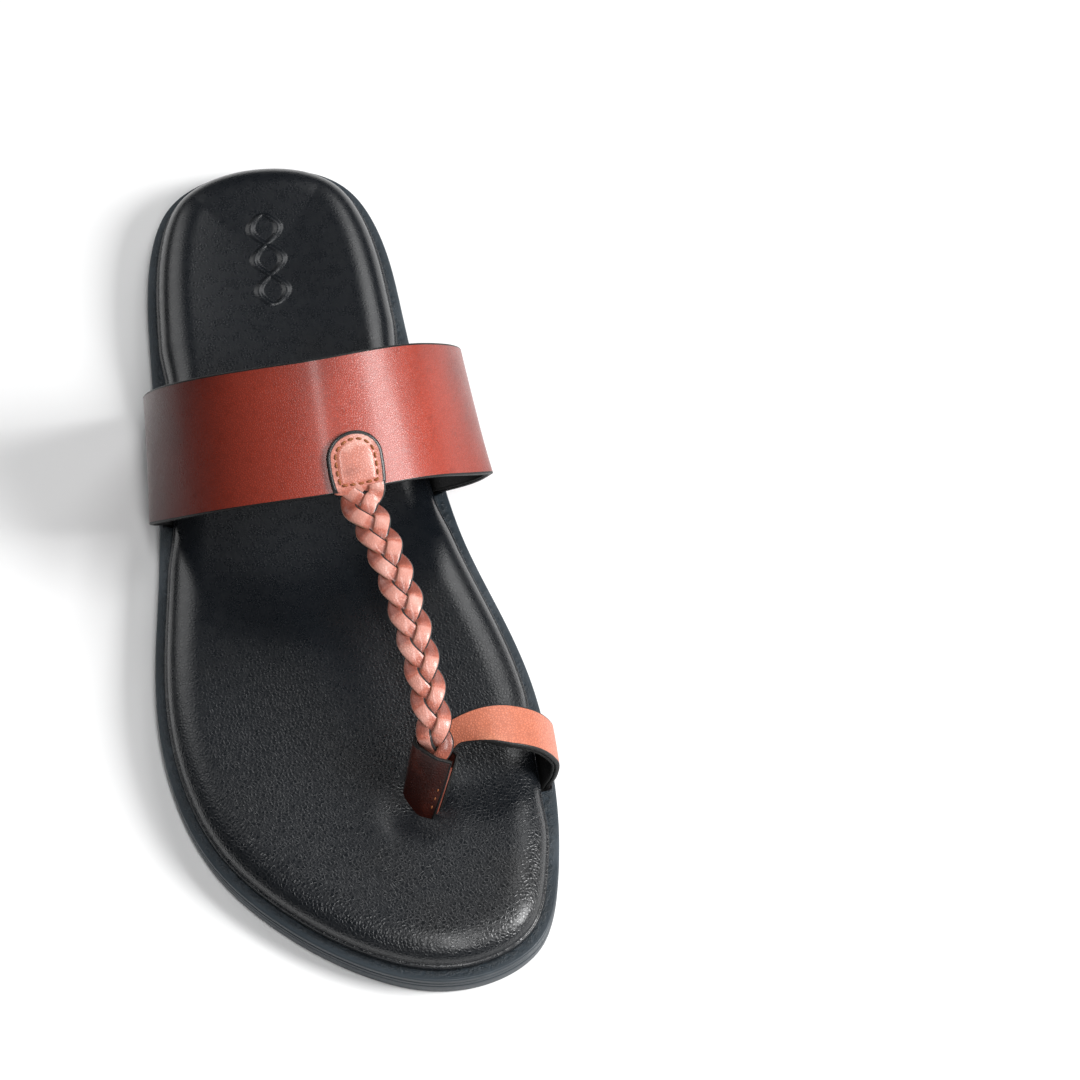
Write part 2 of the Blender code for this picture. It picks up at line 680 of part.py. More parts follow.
def loop_grid():
    """The toe loop's own sheet, from its flap on the back of the post to its end in the sole."""
    wide, rear, up = post_frame().to_3x3().col
    stack_out = LOOP_LEATHER + CLEARANCE / 2
    away = POST_CORE / 2 + POST_LEATHER + 3 * CLEARANCE + stack_out
    edge = edge_x(1, LOOP_Y)
    lower = POST_TOP + rear * away - up * 0.0105
    upper = POST_TOP + rear * away - up * 0.0030
    peak = LOOP_PEAK - stack_out
    shoulder = (upper.x + 0.0030, LOOP_Y + 0.0008, peak - 0.0028)
    route = [tuple(lower), tuple(upper), shoulder,
             ((shoulder[0] + edge) / 2 - 0.003, LOOP_Y + 0.0005, peak),
             (edge - 0.0062, LOOP_Y, peak * 0.87),
             (edge - 0.0006, LOOP_Y, peak * 0.62),
             (edge - 0.0008, LOOP_Y, peak * 0.42)]
    section = tuck(1, edge, stack_out)[::-1]
    route += [(x, LOOP_Y, z + OUTSOLE_THICKNESS) for x, z in section]
    path = smooth_path(route, 44)
    rows = []
    for i, point in enumerate(path):
        turn = smooth_share((i - 5) / 12)
        ruling = (wide * -1).lerp(Vector((0, 1, 0)), turn).normalized()
        half = LOOP_WIDTH / 2 * (0.62 + 0.38 * turn)
        leg = smooth_share((i - 20) / 10)
        row = []
        for v in np.linspace(-1, 1, 5):
            spot = Vector(point) + ruling * (v * half)
            spot.x += leg * (edge_x(1, spot.y) - edge)
            row.append(tuple(spot))
        rows.append(row)
    return np.array(rows)


def build_loop(parts, finishes):
    grid = loop_grid()
    build_strip("toe_loop", grid, (CLEARANCE + LOOP_LEATHER) / 2, LOOP_LEATHER, parts,
                finishes["loop"])
    build_strip("toe_loop_lining", grid, -(CLEARANCE + LOOP_LINING) / 2, LOOP_LINING, parts,
                finishes["lining"])


# ---- toe post --------------------------------------------------------------------------------------
def post_height():
    return (POST_TOP - POST_FOOT).length


def post_width(height):
    """Width of the wrap at a distance up the post."""
    share = height / post_height()
    return POST_FOOT_WIDTH + (POST_TOP_WIDTH - POST_FOOT_WIDTH) * share


def post_slot(cutters):
    """Cutter for the slot in the footbed, a clearance larger than the wrap all round."""
    thick = POST_CORE + 2 * (POST_LEATHER + 2 * CLEARANCE)
    surface = COVER_BOTTOM + FOOTBED_HEIGHT + HEEL_CUP_RISE
    widest = post_width(surface) + 2 * CLEARANCE
    bpy.ops.mesh.primitive_cube_add(size=1.0)
    slot = bpy.context.object
    slot.name = "post_slot_cutter"
    slot.data.transform(Matrix.Diagonal((widest, thick, 2 * POST_TOP.z, 1.0)))
    slot.matrix_world = Matrix.Translation(POST_FOOT) @ post_frame()
    for home in list(slot.users_collection):
        home.objects.unlink(slot)
    cutters.objects.link(slot)
    return as_cutter(slot)


def build_post(parts, finishes):
    """Folded leather wrap, the braid's tail that fills it, and the seam thread."""
    frame = Matrix.Translation(POST_FOOT) @ post_frame()
    wide, rear, up = post_frame().to_3x3().col
    high = post_height()
    middle = POST_CORE / 2 + CLEARANCE + POST_LEATHER / 2
    dip = POST_FOOT_WIDTH / 2 * abs(wide.z) + (middle + POST_LEATHER) * abs(rear.z)
    low = (BOARD_BOTTOM + CLEARANCE + dip) / up.z
    rows = []
    for height in np.linspace(low, high, 6):
        half = post_width(height) / 2
        fold = -half + middle + POST_LEATHER / 2
        section = [(half, -middle), ((half + fold) / 2, -middle), (fold, -middle)]
        for angle in (30, 60, 90, 120, 150):
            a = math.radians(angle)
            section.append((fold - middle * math.sin(a), -middle * math.cos(a)))
        section += [(fold, middle), ((half + fold) / 2, middle), (half, middle)]
        rows.append([(x, y, height) for x, y in section])
    wrap = place("toe_post_wrap", grid_mesh("toe_post_wrap", rows), parts, finishes["post"])
    thicken(wrap, POST_LEATHER, 0.0)
    wrap.matrix_world = frame

    core_top = high - CORE_DEPTH
    core = bpy.data.meshes.new("toe_post_core")
    bm = bmesh.new()
    bmesh.ops.create_cube(bm, size=1.0)
    for vert in bm.verts:
        height = core_top if vert.co.z > 0 else low
        half = post_width(height) / 2
        left = -half + POST_LEATHER + POST_CORE / 2 + 2 * CLEARANCE
        vert.co = (half - CLEARANCE if vert.co.x > 0 else left, vert.co.y * POST_CORE, height)
    bm.to_mesh(core)
    bm.free()
    core_object = place("toe_post_core", core, parts, finishes["braid"], smooth=False)
    core_object.matrix_world = frame

    seam = []
    for height in np.linspace(high * 0.62, high * 0.94, 6):
        seam.append((post_width(height) / 2 - 0.0016,
                     -(middle + POST_LEATHER / 2 + CLEARANCE + THREAD_RADIUS), height))
    thread = place("post_seam_thread", tube_mesh("post_seam_thread", seam, THREAD_RADIUS), parts,
                   finishes["thread"])
    thread.matrix_world = frame


def anchor_box():
    """Middle and half sizes of the anchor patch, level under the board."""
    top = BOARD_BOTTOM - CLEARANCE
    share = (top - ANCHOR_THICKNESS / 2) / POST_TOP.z
    middle = POST_FOOT.lerp(POST_TOP, share)
    return Vector((middle.x, middle.y, top - ANCHOR_THICKNESS / 2))


def anchor_mesh(name, grow):
    bm = bmesh.new()
    bmesh.ops.create_cube(bm, size=1.0)
    size = (ANCHOR_LENGTH + grow, ANCHOR_WIDTH + grow, ANCHOR_THICKNESS + grow)
    bmesh.ops.scale(bm, vec=size, verts=bm.verts)
    mesh = bpy.data.meshes.new(name)
    bm.to_mesh(mesh)
    bm.free()
    return mesh


def build_anchor(parts, cutters, finishes):
    turn = Matrix.Rotation(POST_TURN, 4, "Z")
    anchor = place("toe_post_anchor", anchor_mesh("toe_post_anchor", 0.0), parts, finishes["board"],
                   smooth=False)
    anchor.matrix_world = Matrix.Translation(anchor_box()) @ turn
    seat = as_cutter(place("anchor_cutter", anchor_mesh("anchor_cutter", 2 * CLEARANCE), cutters))
    seat.matrix_world = Matrix.Translation(anchor_box()) @ turn
    cut(bpy.data.objects["sole_filler"], seat)


def main():
    for thing in list(bpy.data.objects):
        bpy.data.objects.remove(thing)
    parts = collection(MODEL)
    cutters = collection("cutters")
    finishes = {
        "rubber": material("sole_rubber", (0.030, 0.040, 0.048), 0.62),
        "filler": material("filler_foam", (0.55, 0.52, 0.46), 0.9),
        "board": material("fibre_board", (0.42, 0.33, 0.22), 0.85),
        "foam": material("cushion_foam", (0.25, 0.25, 0.26), 0.9),
        "cover": material("black_footbed_leather", (0.012, 0.014, 0.017), 0.38),
        "band": material("chestnut_leather", (0.45, 0.105, 0.060), 0.40),
        "lining": material("black_lining", (0.010, 0.010, 0.011), 0.6),
        "braid": material("braid_leather", (0.50, 0.17, 0.10), 0.5),
        "loop": material("tan_leather", (0.50, 0.16, 0.08), 0.45),
        "post": material("dark_wrap_leather", (0.18, 0.040, 0.022), 0.30),
        "thread": material("tan_thread", (0.42, 0.20, 0.08), 0.7),
    }
    slot = post_slot(cutters)
    build_outsole(parts, cutters, finishes["rubber"])
    build_filler(parts, cutters, finishes["filler"])
    build_anchor(parts, cutters, finishes)
    build_footbed(parts, cutters, finishes, slot)
    build_band(parts, finishes)
    build_tab(parts, finishes)
    build_braid(parts, finishes["braid"])
    build_loop(parts, finishes)
    build_post(parts, finishes)


main()
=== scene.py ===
"""Looks of a toe-loop flip flop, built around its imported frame.

The frame's axes hold throughout, in metres: +Z up, the toe towards -Y and the big-toe side towards
+X, with the origin on the ground under the middle of the sole. Each sub-assembly is a class that
holds its own sizes, works its surfaces out with numpy and dresses them in a finish.
"""

import logging
import math
from abc import ABC, abstractmethod
from dataclasses import dataclass, field
from enum import Enum
from functools import cached_property
from typing import Callable, Sequence

import bmesh
import bpy
import numpy as np
from mathutils import Euler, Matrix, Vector

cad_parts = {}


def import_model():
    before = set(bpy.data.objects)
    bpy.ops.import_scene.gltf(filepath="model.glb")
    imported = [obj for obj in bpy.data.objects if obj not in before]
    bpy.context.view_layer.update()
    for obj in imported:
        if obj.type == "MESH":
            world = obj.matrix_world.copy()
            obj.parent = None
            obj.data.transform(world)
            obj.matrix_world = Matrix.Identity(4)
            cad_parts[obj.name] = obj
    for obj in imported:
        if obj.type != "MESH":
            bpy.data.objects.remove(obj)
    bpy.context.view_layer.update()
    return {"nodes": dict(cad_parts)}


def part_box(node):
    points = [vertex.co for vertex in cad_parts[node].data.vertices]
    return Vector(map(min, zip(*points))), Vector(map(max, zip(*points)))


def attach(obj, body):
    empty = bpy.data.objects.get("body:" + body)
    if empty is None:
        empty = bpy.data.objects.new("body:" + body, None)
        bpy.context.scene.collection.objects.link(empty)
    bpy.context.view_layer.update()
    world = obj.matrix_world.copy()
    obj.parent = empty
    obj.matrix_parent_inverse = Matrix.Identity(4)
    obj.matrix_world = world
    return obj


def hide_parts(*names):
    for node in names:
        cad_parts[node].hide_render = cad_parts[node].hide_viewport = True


LOG = logging.getLogger("flip_flop")
MM = 0.001
CLEARANCE = 0.3 * MM
TINY = 1e-12
MERGE_WITHIN = 1e-7
DEGENERATE_BELOW = 1e-8
BODY = "root"

Array = np.ndarray
Pair = tuple[float, float]
Triple = tuple[float, float, float]
Colour = Triple
Seats = Sequence[tuple[int, float, float]]


# ---- curves and surfaces -------------------------------------------------------------------------
def smooth_share(value: Array | float) -> Array:
    """0 below 0, 1 above 1, and 3t^2 - 2t^3 between them."""
    share = np.clip(value, 0.0, 1.0)
    return share * share * (3 - 2 * share)


def unit(vectors: Array) -> Array:
    """The vectors scaled to length 1 along their last axis."""
    return vectors / np.maximum(np.linalg.norm(vectors, axis=-1, keepdims=True), TINY)


def bump_at(value: Array, centre: float, spread: float) -> Array:
    """A bell of height 1: exp(-((value - centre) / spread)^2)."""
    return np.exp(-(((value - centre) / spread) ** 2))


def run_of(path: Array) -> Array:
    """Distance from the start along a polyline, at each of its points."""
    steps = np.linalg.norm(np.diff(path, axis=0), axis=1)
    return np.concatenate([[0.0], np.cumsum(steps)])


def even_points(path: Array, count: int, with_end: bool = True) -> Array:
    """Points at even distances along a polyline.

    Args:
        path: Points of the polyline, one a row.
        count: How many points are wanted.
        with_end: Whether the last point lies on the path's own end.

    Returns:
        The points, one a row.
    """
    run = run_of(path)
    even = np.linspace(0.0, run[-1], count, endpoint=with_end)
    return np.stack([np.interp(even, run, path[:, k]) for k in range(path.shape[1])], axis=1)


def smooth_path(points: Sequence[Sequence[float]], count: int) -> Array:
    """Even points on a smooth open curve through the given ones.

    Each stretch between two points is a cubic Bezier curve. Its handles follow the chord between a
    point's neighbours, a third of the stretch's own share of that chord long.

    Args:
        points: The points that the curve passes through.
        count: How many even points are wanted.

    Returns:
        The points, one a row.
    """
    knots = np.array(points, float)
    ahead = np.vstack([knots[1:], 2 * knots[-1] - knots[-2]])
    behind = np.vstack([2 * knots[0] - knots[1], knots[:-1]])
    step = np.linalg.norm(ahead - knots, axis=1)
    back = np.linalg.norm(knots - behind, axis=1)
    chord = (ahead - behind) / (step + back)[:, None]
    a, b = knots[:-1], knots[1:]
    length = step[:-1, None]
    hand_a = chord[:-1] * length / 3
    hand_b = chord[1:] * length / 3
    t = np.linspace(0, 1, 24, endpoint=False)[None, :, None]
    s = 1 - t
    fine = (
        a[:, None] * s**3
        + (a + hand_a)[:, None] * 3 * s * s * t
        + (b - hand_b)[:, None] * 3 * s * t * t
        + b[:, None] * t**3
    )
    return even_points(np.vstack([fine.reshape(-1, knots.shape[1]), knots[-1:]]), count)


def round_in(radius: float, degrees: Sequence[float]) -> list[Pair]:
    """Pairs radius*(1 - cos(a)) and radius*(1 - sin(a)), of a rounded corner at the angles a."""
    return [(radius * (1 - math.cos(a)), radius * (1 - math.sin(a))) for a in np.radians(degrees)]


def beside(ring: Array, seats: Seats, gap: float, run: float) -> Array:
    """Smooth share round an outline that is 1 beside the strap seats and 0 away from them.

    Args:
        ring: Points of the outline.
        seats: Side and y range of each strap end.
        gap: Distance past a seat over which the share stays 1.
        run: Length of the ramp beyond it.

    Returns:
        The share at each point.
    """
    share = np.zeros(len(ring))
    for side, low, high in seats:
        past = np.maximum(low - ring[:, 1], ring[:, 1] - high)
        ramp = smooth_share(1 - (past - gap) / run)
        share = np.maximum(share, np.where(ring[:, 0] * side > 0, ramp, 0.0))
    return share


def inward(ring: Array) -> Array:
    """Unit normals that point into a counter-clockwise closed outline."""
    along = unit(np.roll(ring, -1, 0) - np.roll(ring, 1, 0))
    return np.stack([-along[:, 1], along[:, 0]], axis=1)


def grid_faces(rows: int, columns: int, wrapped: bool, start: int = 0) -> Array:
    """Four-cornered faces of a grid whose points are numbered row by row.

    Args:
        rows: Rows of points.
        columns: Points in a row.
        wrapped: Whether each row closes on itself.
        start: Number of the grid's first point.

    Returns:
        Point numbers, four a row.
    """
    across = columns if wrapped else columns - 1
    r, c = np.meshgrid(np.arange(rows - 1), np.arange(across), indexing="ij")
    right = (c + 1) % columns
    corners = (r * columns + c, r * columns + right, (r + 1) * columns + right, (r + 1) * columns + c)
    return np.stack([k.ravel() for k in corners], axis=1) + start


@dataclass
class Shell:
    """Points, faces and named values per point of one piece."""

    points: Array
    faces: list[Array]
    values: dict[str, Array] = field(default_factory=dict)

    def joined(self, other: "Shell") -> "Shell":
        """Both shells as one, with the values that both have."""
        moved = [faces + len(self.points) for faces in other.faces]
        shared = {
            name: np.concatenate([self.values[name], other.values[name]])
            for name in self.values
            if name in other.values
        }
        return Shell(np.vstack([self.points, other.points]), self.faces + moved, shared)


def ladder(ring: Array, columns: int) -> Array:
    """Straight rungs across a closed ring, from each point to the one opposite it.

    Point i of the ring's first half is joined to point -i, which is the one at the same share of
    the other half. Both ends of the ladder shrink to the ring's two end points.

    Args:
        ring: Even count of points, whose first and middle ones are the two ends.
        columns: Points on each rung.

    Returns:
        Array of rungs by columns by coordinates.
    """
    half = len(ring) // 2
    near = ring[: half + 1]
    far = np.roll(ring[::-1], 1, 0)[: half + 1]
    share = np.linspace(0, 1, columns)[None, :, None]
    return near[:, None] * (1 - share) + far[:, None] * share


def pillow(
    ring: Array,
    profile: Sequence[Pair],
    columns: int,
    inset: Callable[[float, int], Array] | None = None,
    fill_first: bool = True,
    first_columns: int | None = None,
) -> Shell:
    """A form carried round an outline: each profile row is the outline drawn in, at one height.

    Row k is ring + inwards * inset_k, at height_k. A ladder of rungs fills the last row, and the
    first one if asked. The values hold each point's profile row as "row".

    Args:
        ring: Plan outline, counter-clockwise.
        profile: Inset and height of each row, from the first to the last.
        columns: Points on each rung of the fills.
        inset: Gives the inset all round for a profile inset and row, where it isn't constant.
        fill_first: Whether the first row is filled too.
        first_columns: Points on each rung of that fill, where they differ.

    Returns:
        The shell, whose coordinates are plan x, plan y and height.
    """
    normal = inward(ring)
    rows = []
    for number, (amount, height) in enumerate(profile):
        drawn = np.full(len(ring), amount) if inset is None else inset(amount, number)
        plan = ring + normal * drawn[:, None]
        rows.append(np.column_stack([plan, np.full(len(ring), height)]))
    body = np.array(rows)
    count = len(ring)
    shell = Shell(
        body.reshape(-1, 3),
        [grid_faces(len(rows), count, True)],
        {"row": np.repeat(np.arange(len(rows), dtype=float), count)},
    )
    last = ladder(body[-1], columns)
    fills = [(last, len(rows) - 1.0)]
    if fill_first:
        fills.append((ladder(body[0], first_columns or columns)[:, ::-1], 0.0))
    for patch, number in fills:
        faces = grid_faces(patch.shape[0], patch.shape[1], False)
        points = patch.reshape(-1, 3)
        shell = shell.joined(Shell(points, [faces[:, ::-1]], {"row": np.full(len(points), number)}))
    return shell


def strap_shares(half_width: float, corner: float, count: int) -> Array:
    """Places across a strap, from -1 to 1, that leave its rounded corners out.

    Args:
        half_width: Half the strap's width.
        corner: Radius of its rounded edge corners.
        count: Even places between the two pairs of edge ones.

    Returns:
        The places, closer together beside the edges so that edge paint stays narrow.
    """
    rim = 1 - corner / half_width
    line = rim - 0.25 * MM / half_width
    middle = np.linspace(-line, line, count)
    return np.concatenate([[-rim], middle, [rim]])


def strap_shell(sheet: Array, thickness: float, corner: float, lift: float = 0.0) -> Shell:
    """A closed strap of even thickness around a sheet, with rounded edges and flat ends.

    Each ring runs over the top face, round the far edge, back under and round the near edge. A
    corner's points lie at outward corner*cos(a) and lift half - corner + corner*sin(a).

    Args:
        sheet: Points of the sheet, along by across by 3, without the corners' width.
        thickness: The strap's thickness.
        corner: Radius of its edge corners.
        lift: How far the strap's middle lies from the sheet, along its normals.

    Returns:
        The shell, with values "edge" (1 on the cut edges) and "run" (share of the length).
    """
    along = np.gradient(sheet, axis=0)
    across = unit(np.gradient(sheet, axis=1))
    normal = unit(np.cross(along, across))
    half = thickness / 2
    turn = np.radians([72, 48, 24, 0])
    out = np.concatenate([np.cos(turn), np.cos(turn[::-1])]) * corner
    up = (half - corner) + np.sin(turn) * corner
    rise = np.concatenate([up, -up[::-1]])

    def edge(column: int, sign: float, order: int) -> Array:
        """Points round one edge, ordered down (1) or up (-1)."""
        base, side, face = sheet[:, column, None], across[:, column, None], normal[:, column, None]
        points = base + side * (sign * out)[None, :, None] + face * rise[None, :, None]
        return points[:, ::order]

    top = sheet + normal * half
    bottom = (sheet - normal * half)[:, ::-1]
    rings = np.concatenate([top, edge(-1, 1.0, 1), bottom, edge(0, -1.0, -1)], axis=1)
    middle = np.concatenate(
        [normal, np.repeat(normal[:, -1:], len(out), 1), normal[:, ::-1],
         np.repeat(normal[:, :1], len(out), 1)],
        axis=1,
    )
    rings = rings + middle * lift
    columns = sheet.shape[1]
    flat = np.zeros(columns)
    flat[[0, -1]] = 1.0
    painted = np.concatenate([flat, np.ones(len(out)), flat, np.ones(len(out))])
    share = run_of(sheet[:, columns // 2])
    return tube_shell(rings, {"edge": painted}, share / share[-1])


def tube_shell(rings: Array, round_values: dict[str, Array], share: Array) -> Shell:
    """A closed form through closed rings, with a fan of triangles over each end.

    Args:
        rings: Points, ring by ring.
        round_values: Named values at each place round a ring.
        share: Value "run" of each ring.

    Returns:
        The shell with those values.
    """
    count, around = rings.shape[:2]
    points = rings.reshape(-1, 3)
    centres = np.array([rings[0].mean(axis=0), rings[-1].mean(axis=0)])
    place = np.arange(around)
    after = (place + 1) % around
    last = (count - 1) * around
    first_fan = np.stack([np.full(around, len(points)), after, place], axis=1)
    last_fan = np.stack([np.full(around, len(points) + 1), last + place, last + after], axis=1)
    values = {
        name: np.concatenate([np.tile(value, count), [value.mean()] * 2])
        for name, value in round_values.items()
    }
    values["run"] = np.concatenate([np.repeat(share, around), [share[0], share[-1]]])
    faces = [grid_faces(count, around, True), first_fan, last_fan]
    return Shell(np.vstack([points, centres]), faces, values)


def stitches(path: Array, up: Array, pitch: float, length: float, radius: float) -> Shell:
    """A row of separate stitches, each a small bent capsule whose ends sink into the leather.

    Along a stitch, t from -1 to 1, the radius is radius*(1 - t^4)^0.5 and the middle line drops by
    radius*t^2. The capsule has six sides and six stations.

    Args:
        path: Points of the row, closely spaced.
        up: The leather's normal at each of them.
        pitch: Distance from one stitch to the next.
        length: Length of a stitch.
        radius: Radius of the thread.

    Returns:
        One shell of all the stitches, with the value "run" along each of them.
    """
    run = run_of(path)
    count = max(1, int(run[-1] / pitch))
    middles = (np.arange(count) + 0.5) * run[-1] / count
    t = np.array([-1.0, -0.86, -0.45, 0.0, 0.45, 0.86, 1.0])
    places = middles[:, None] + t[None, :] * length / 2

    def at(values: Array) -> Array:
        """The values of the path at each station of each stitch."""
        return np.stack([np.interp(places, run, values[:, k]) for k in range(3)], axis=-1)

    centre, lift = at(path), unit(at(up))
    ahead = unit(np.gradient(centre, axis=1))
    side = np.cross(lift, ahead)
    thick = radius * np.sqrt(np.maximum(1 - t**4, 0.02))
    centre = centre - lift * (radius * 1.1 * t**2)[None, :, None]
    angle = np.linspace(0, 2 * math.pi, 6, endpoint=False)
    ring = side[:, :, None] * np.cos(angle)[:, None] + lift[:, :, None] * np.sin(angle)[:, None]
    rings = centre[:, :, None] + ring * thick[None, :, None, None]
    shell: Shell | None = None
    for stitch in rings:
        one = tube_shell(stitch, {}, (t + 1) / 2)
        shell = one if shell is None else shell.joined(one)
    return shell


# ---- shape of the sole and of its straps ---------------------------------------------------------
@dataclass(frozen=True)
class SoleShape:
    """Plan of the sole, the heights of its layers and the seats of its straps."""

    length: float
    thickness: float
    forepart: float = 107.4 * MM
    heel: float = 75.6 * MM
    tip_share: float = 0.245
    ledge: float = 2.8 * MM
    recess: float = 1.4 * MM
    recess_run: float = 16.0 * MM
    strap_stack: float = 2.6 * MM
    tuck_length: float = 12.0 * MM
    tuck_radius: float = 2.2 * MM
    heel_stations: tuple[Triple, ...] = (
        (0.036, 0.357, 0.345), (0.09, 0.450, 0.442), (0.21, 0.505, 0.495), (0.36, 0.532, 0.528),
    )
    fore_stations: tuple[Triple, ...] = (
        (0.50, 0.407, 0.414), (0.60, 0.443, 0.484), (0.68, 0.455, 0.530), (0.76, 0.432, 0.546),
        (0.84, 0.358, 0.539), (0.91, 0.217, 0.509), (0.965, 0.040, 0.450),
    )

    @cached_property
    def halves(self) -> tuple[Array, Array]:
        """The outline's two halves as fine polylines: heel to toe past the little toe, and back.

        The outline is the closed cubic spline through the stations, whose tangents solve the
        periodic system that keeps its second derivative continuous.
        """
        back = self.length / 2
        side = [(s, a * self.heel, b * self.heel) for s, a, b in self.heel_stations]
        side += [(s, a * self.forepart, b * self.forepart) for s, a, b in self.fore_stations]
        little = [(-a, back - s * self.length) for s, a, _ in side]
        big = [(b, back - s * self.length) for s, _, b in side]
        knots = np.array([(0, back)] + little + [(self.tip_share * self.forepart, -back)] + big[::-1])
        count = len(knots)
        ahead = np.roll(knots, -1, 0)
        step = np.linalg.norm(ahead - knots, axis=1)
        before = np.roll(step, 1)
        slope = (ahead - knots) / step[:, None]
        place = np.arange(count)
        system = np.diag(2 * (step + before))
        system[place, (place + 1) % count] += before
        system[place, place - 1] += step
        right = 3 * (before[:, None] * slope + step[:, None] * np.roll(slope, 1, 0))
        tangent = np.linalg.solve(system, right)
        t = np.linspace(0, 1, 40, endpoint=False)[None, :, None]
        start, end = knots[:, None], ahead[:, None]
        leave = (tangent * step[:, None])[:, None]
        arrive = (np.roll(tangent, -1, 0) * step[:, None])[:, None]
        fine = (
            (2 * t**3 - 3 * t**2 + 1) * start + (t**3 - 2 * t**2 + t) * leave
            + (3 * t**2 - 2 * t**3) * end + (t**3 - t**2) * arrive
        ).reshape(-1, 2)
        tip = (1 + len(little)) * 40
        return fine[: tip + 1], np.vstack([fine[tip:], fine[:1]])

    def ring(self, count: int) -> Array:
        """The outline as an even count of points, from the heel's back, with the toe tip halfway."""
        little, big = self.halves
        return np.vstack([even_points(half, count // 2, False) for half in (little, big)])

    def edge_x(self, side: int, y: Array | float) -> Array:
        """x of the outline at y, on the little-toe side (-1) or the big-toe side (1)."""
        half = self.halves[0 if side < 0 else 1]
        order = np.argsort(half[:, 1], kind="stable")
        return np.interp(y, half[order, 1], half[order, 0])

    @property
    def pocket_floor(self) -> float:
        """Height of the floor on which the strap ends lie."""
        return self.thickness - self.strap_stack - CLEARANCE

    @property
    def channel_inset(self) -> float:
        """Inset of the wall beside which a strap rises."""
        return self.ledge + self.recess - self.strap_stack - 2 * CLEARANCE

    def tuck(self, edge: float, stack_out: float) -> Array:
        """A strap end in section, from its tip under the footbed to its rise at the ledge.

        The tip runs flat for the tuck's length and turns up on a quarter circle.

        Args:
            edge: Distance of the sole's edge from the middle.
            stack_out: How far the strap's sheet lies inside its outer face.

        Returns:
            Distances from the middle and heights above the ledge.
        """
        centre = edge - self.channel_inset - CLEARANCE - stack_out - self.tuck_radius
        floor = self.pocket_floor + CLEARANCE + stack_out
        turn = np.radians([0, 30, 60, 90])
        x = centre + self.tuck_radius * np.sin(turn)
        z = floor + self.tuck_radius * (1 - np.cos(turn))
        tip = [(centre - self.tuck_length, floor), (centre - self.tuck_length / 2, floor)]
        return np.vstack([tip, np.column_stack([x, z])]) - (0, self.thickness)


@dataclass(frozen=True)
class BandShape:
    """The instep band's sheet, between its leather and its lining."""

    sole: SoleShape
    width: float = 38.3 * MM
    foot_width: float = 42.5 * MM
    twist_height: float = 45.0 * MM
    y: float = 38.0 * MM
    lean: float = math.radians(29.0)
    height: float = 61.0 * MM
    leather: float = 1.4 * MM
    lining: float = 0.9 * MM
    lateral_bulge: float = 1.2 * MM
    medial_bulge: float = 11.2 * MM
    set_back: float = 2.7 * MM

    @cached_property
    def section(self) -> Array:
        """x and height above the ledge of even points along the band, little-toe end first."""
        little = -float(self.sole.edge_x(-1, self.y))
        big = float(self.sole.edge_x(1, self.y))
        left, right = little + self.lateral_bulge, big + self.medial_bulge
        span, top = left + right, self.height
        arch = [
            (-left, 0.34 * top), (-left + 0.055 * span, 0.62 * top), (-left + 0.20 * span, 0.86 * top),
            (-left + 0.40 * span, 0.985 * top), (-left + 0.60 * span, top),
            (-left + 0.80 * span, 0.88 * top), (-left + 0.94 * span, 0.63 * top),
            (right, 0.38 * top), (right - 0.030 * span, 0.19 * top),
        ]
        stack_out = self.leather + CLEARANCE / 2
        start = self.sole.tuck(little, stack_out) * (-1, 1)
        end = self.sole.tuck(big, stack_out)[::-1]
        return smooth_path([*start, *arch, *end], 260)

    def point(self, x: Array, height: Array, v: Array) -> Array:
        """Points of the band.

        The ruling turns from level at the sole to the lean higher up, so the band's y is its seat's
        minus height*sin(lean) plus v times the half width, and its z rises with height*cos(lean).

        Args:
            x: Section place across the sole.
            height: Height above the ledge along the section.
            v: Share across the band's width, from -1 at the front to 1.

        Returns:
            World points, with the three arrays' common shape and a last axis of 3.
        """
        middle_edge = float(self.sole.edge_x(1, self.y))
        grow = smooth_share(height / self.twist_height)
        half = (self.foot_width * (1 - grow) + self.width * math.cos(self.lean) * grow) / 2
        up = np.maximum(0.0, height)
        y = self.y - up * math.sin(self.lean) + v * half
        y = y + self.set_back * smooth_share(x / middle_edge) * smooth_share(up / (20 * MM))
        z = self.sole.thickness + np.minimum(0.0, height) + up * math.cos(self.lean)
        z = z + grow * v * self.width / 2 * math.sin(self.lean)
        seat_y = self.y + v * self.foot_width / 2
        left = self.sole.edge_x(-1, seat_y) / self.sole.edge_x(-1, self.y)
        right = self.sole.edge_x(1, seat_y) / middle_edge
        share = smooth_share(x / (2 * middle_edge) + 0.5)
        return np.stack(np.broadcast_arrays(x * (left * (1 - share) + right * share), y, z), axis=-1)

    def sheet(self, shares: Array) -> Array:
        """The whole sheet at the given shares across, along by across by 3."""
        x, height = self.section[:, 0], self.section[:, 1]
        return self.point(x[:, None], height[:, None], shares[None, :])

    def place(self, middle_x: float, across: Array, along: Array) -> Array:
        """Points on the sheet: across from a middle line, and along back from the front edge."""
        top = self.section[self.section[:, 1] > 0.5 * self.height]
        run = run_of(top)
        spot = np.interp(middle_x, top[:, 0], run) + across
        x, height = (np.interp(spot, run, top[:, k]) for k in range(2))
        return self.point(x, height, -1 + along / (self.width / 2))

    def lifted(self, middle_x: float, across: Array, along: Array, lift: Array | float) -> Array:
        """Points at a height above the sheet, along its normals."""
        step = 0.5 * MM
        here = self.place(middle_x, across, along)
        u = self.place(middle_x, across + step, along) - self.place(middle_x, across - step, along)
        w = self.place(middle_x, across, along + step) - self.place(middle_x, across, along - step)
        normal = unit(np.cross(u, w))
        return here + normal * np.broadcast_to(lift, here.shape[:-1])[..., None]


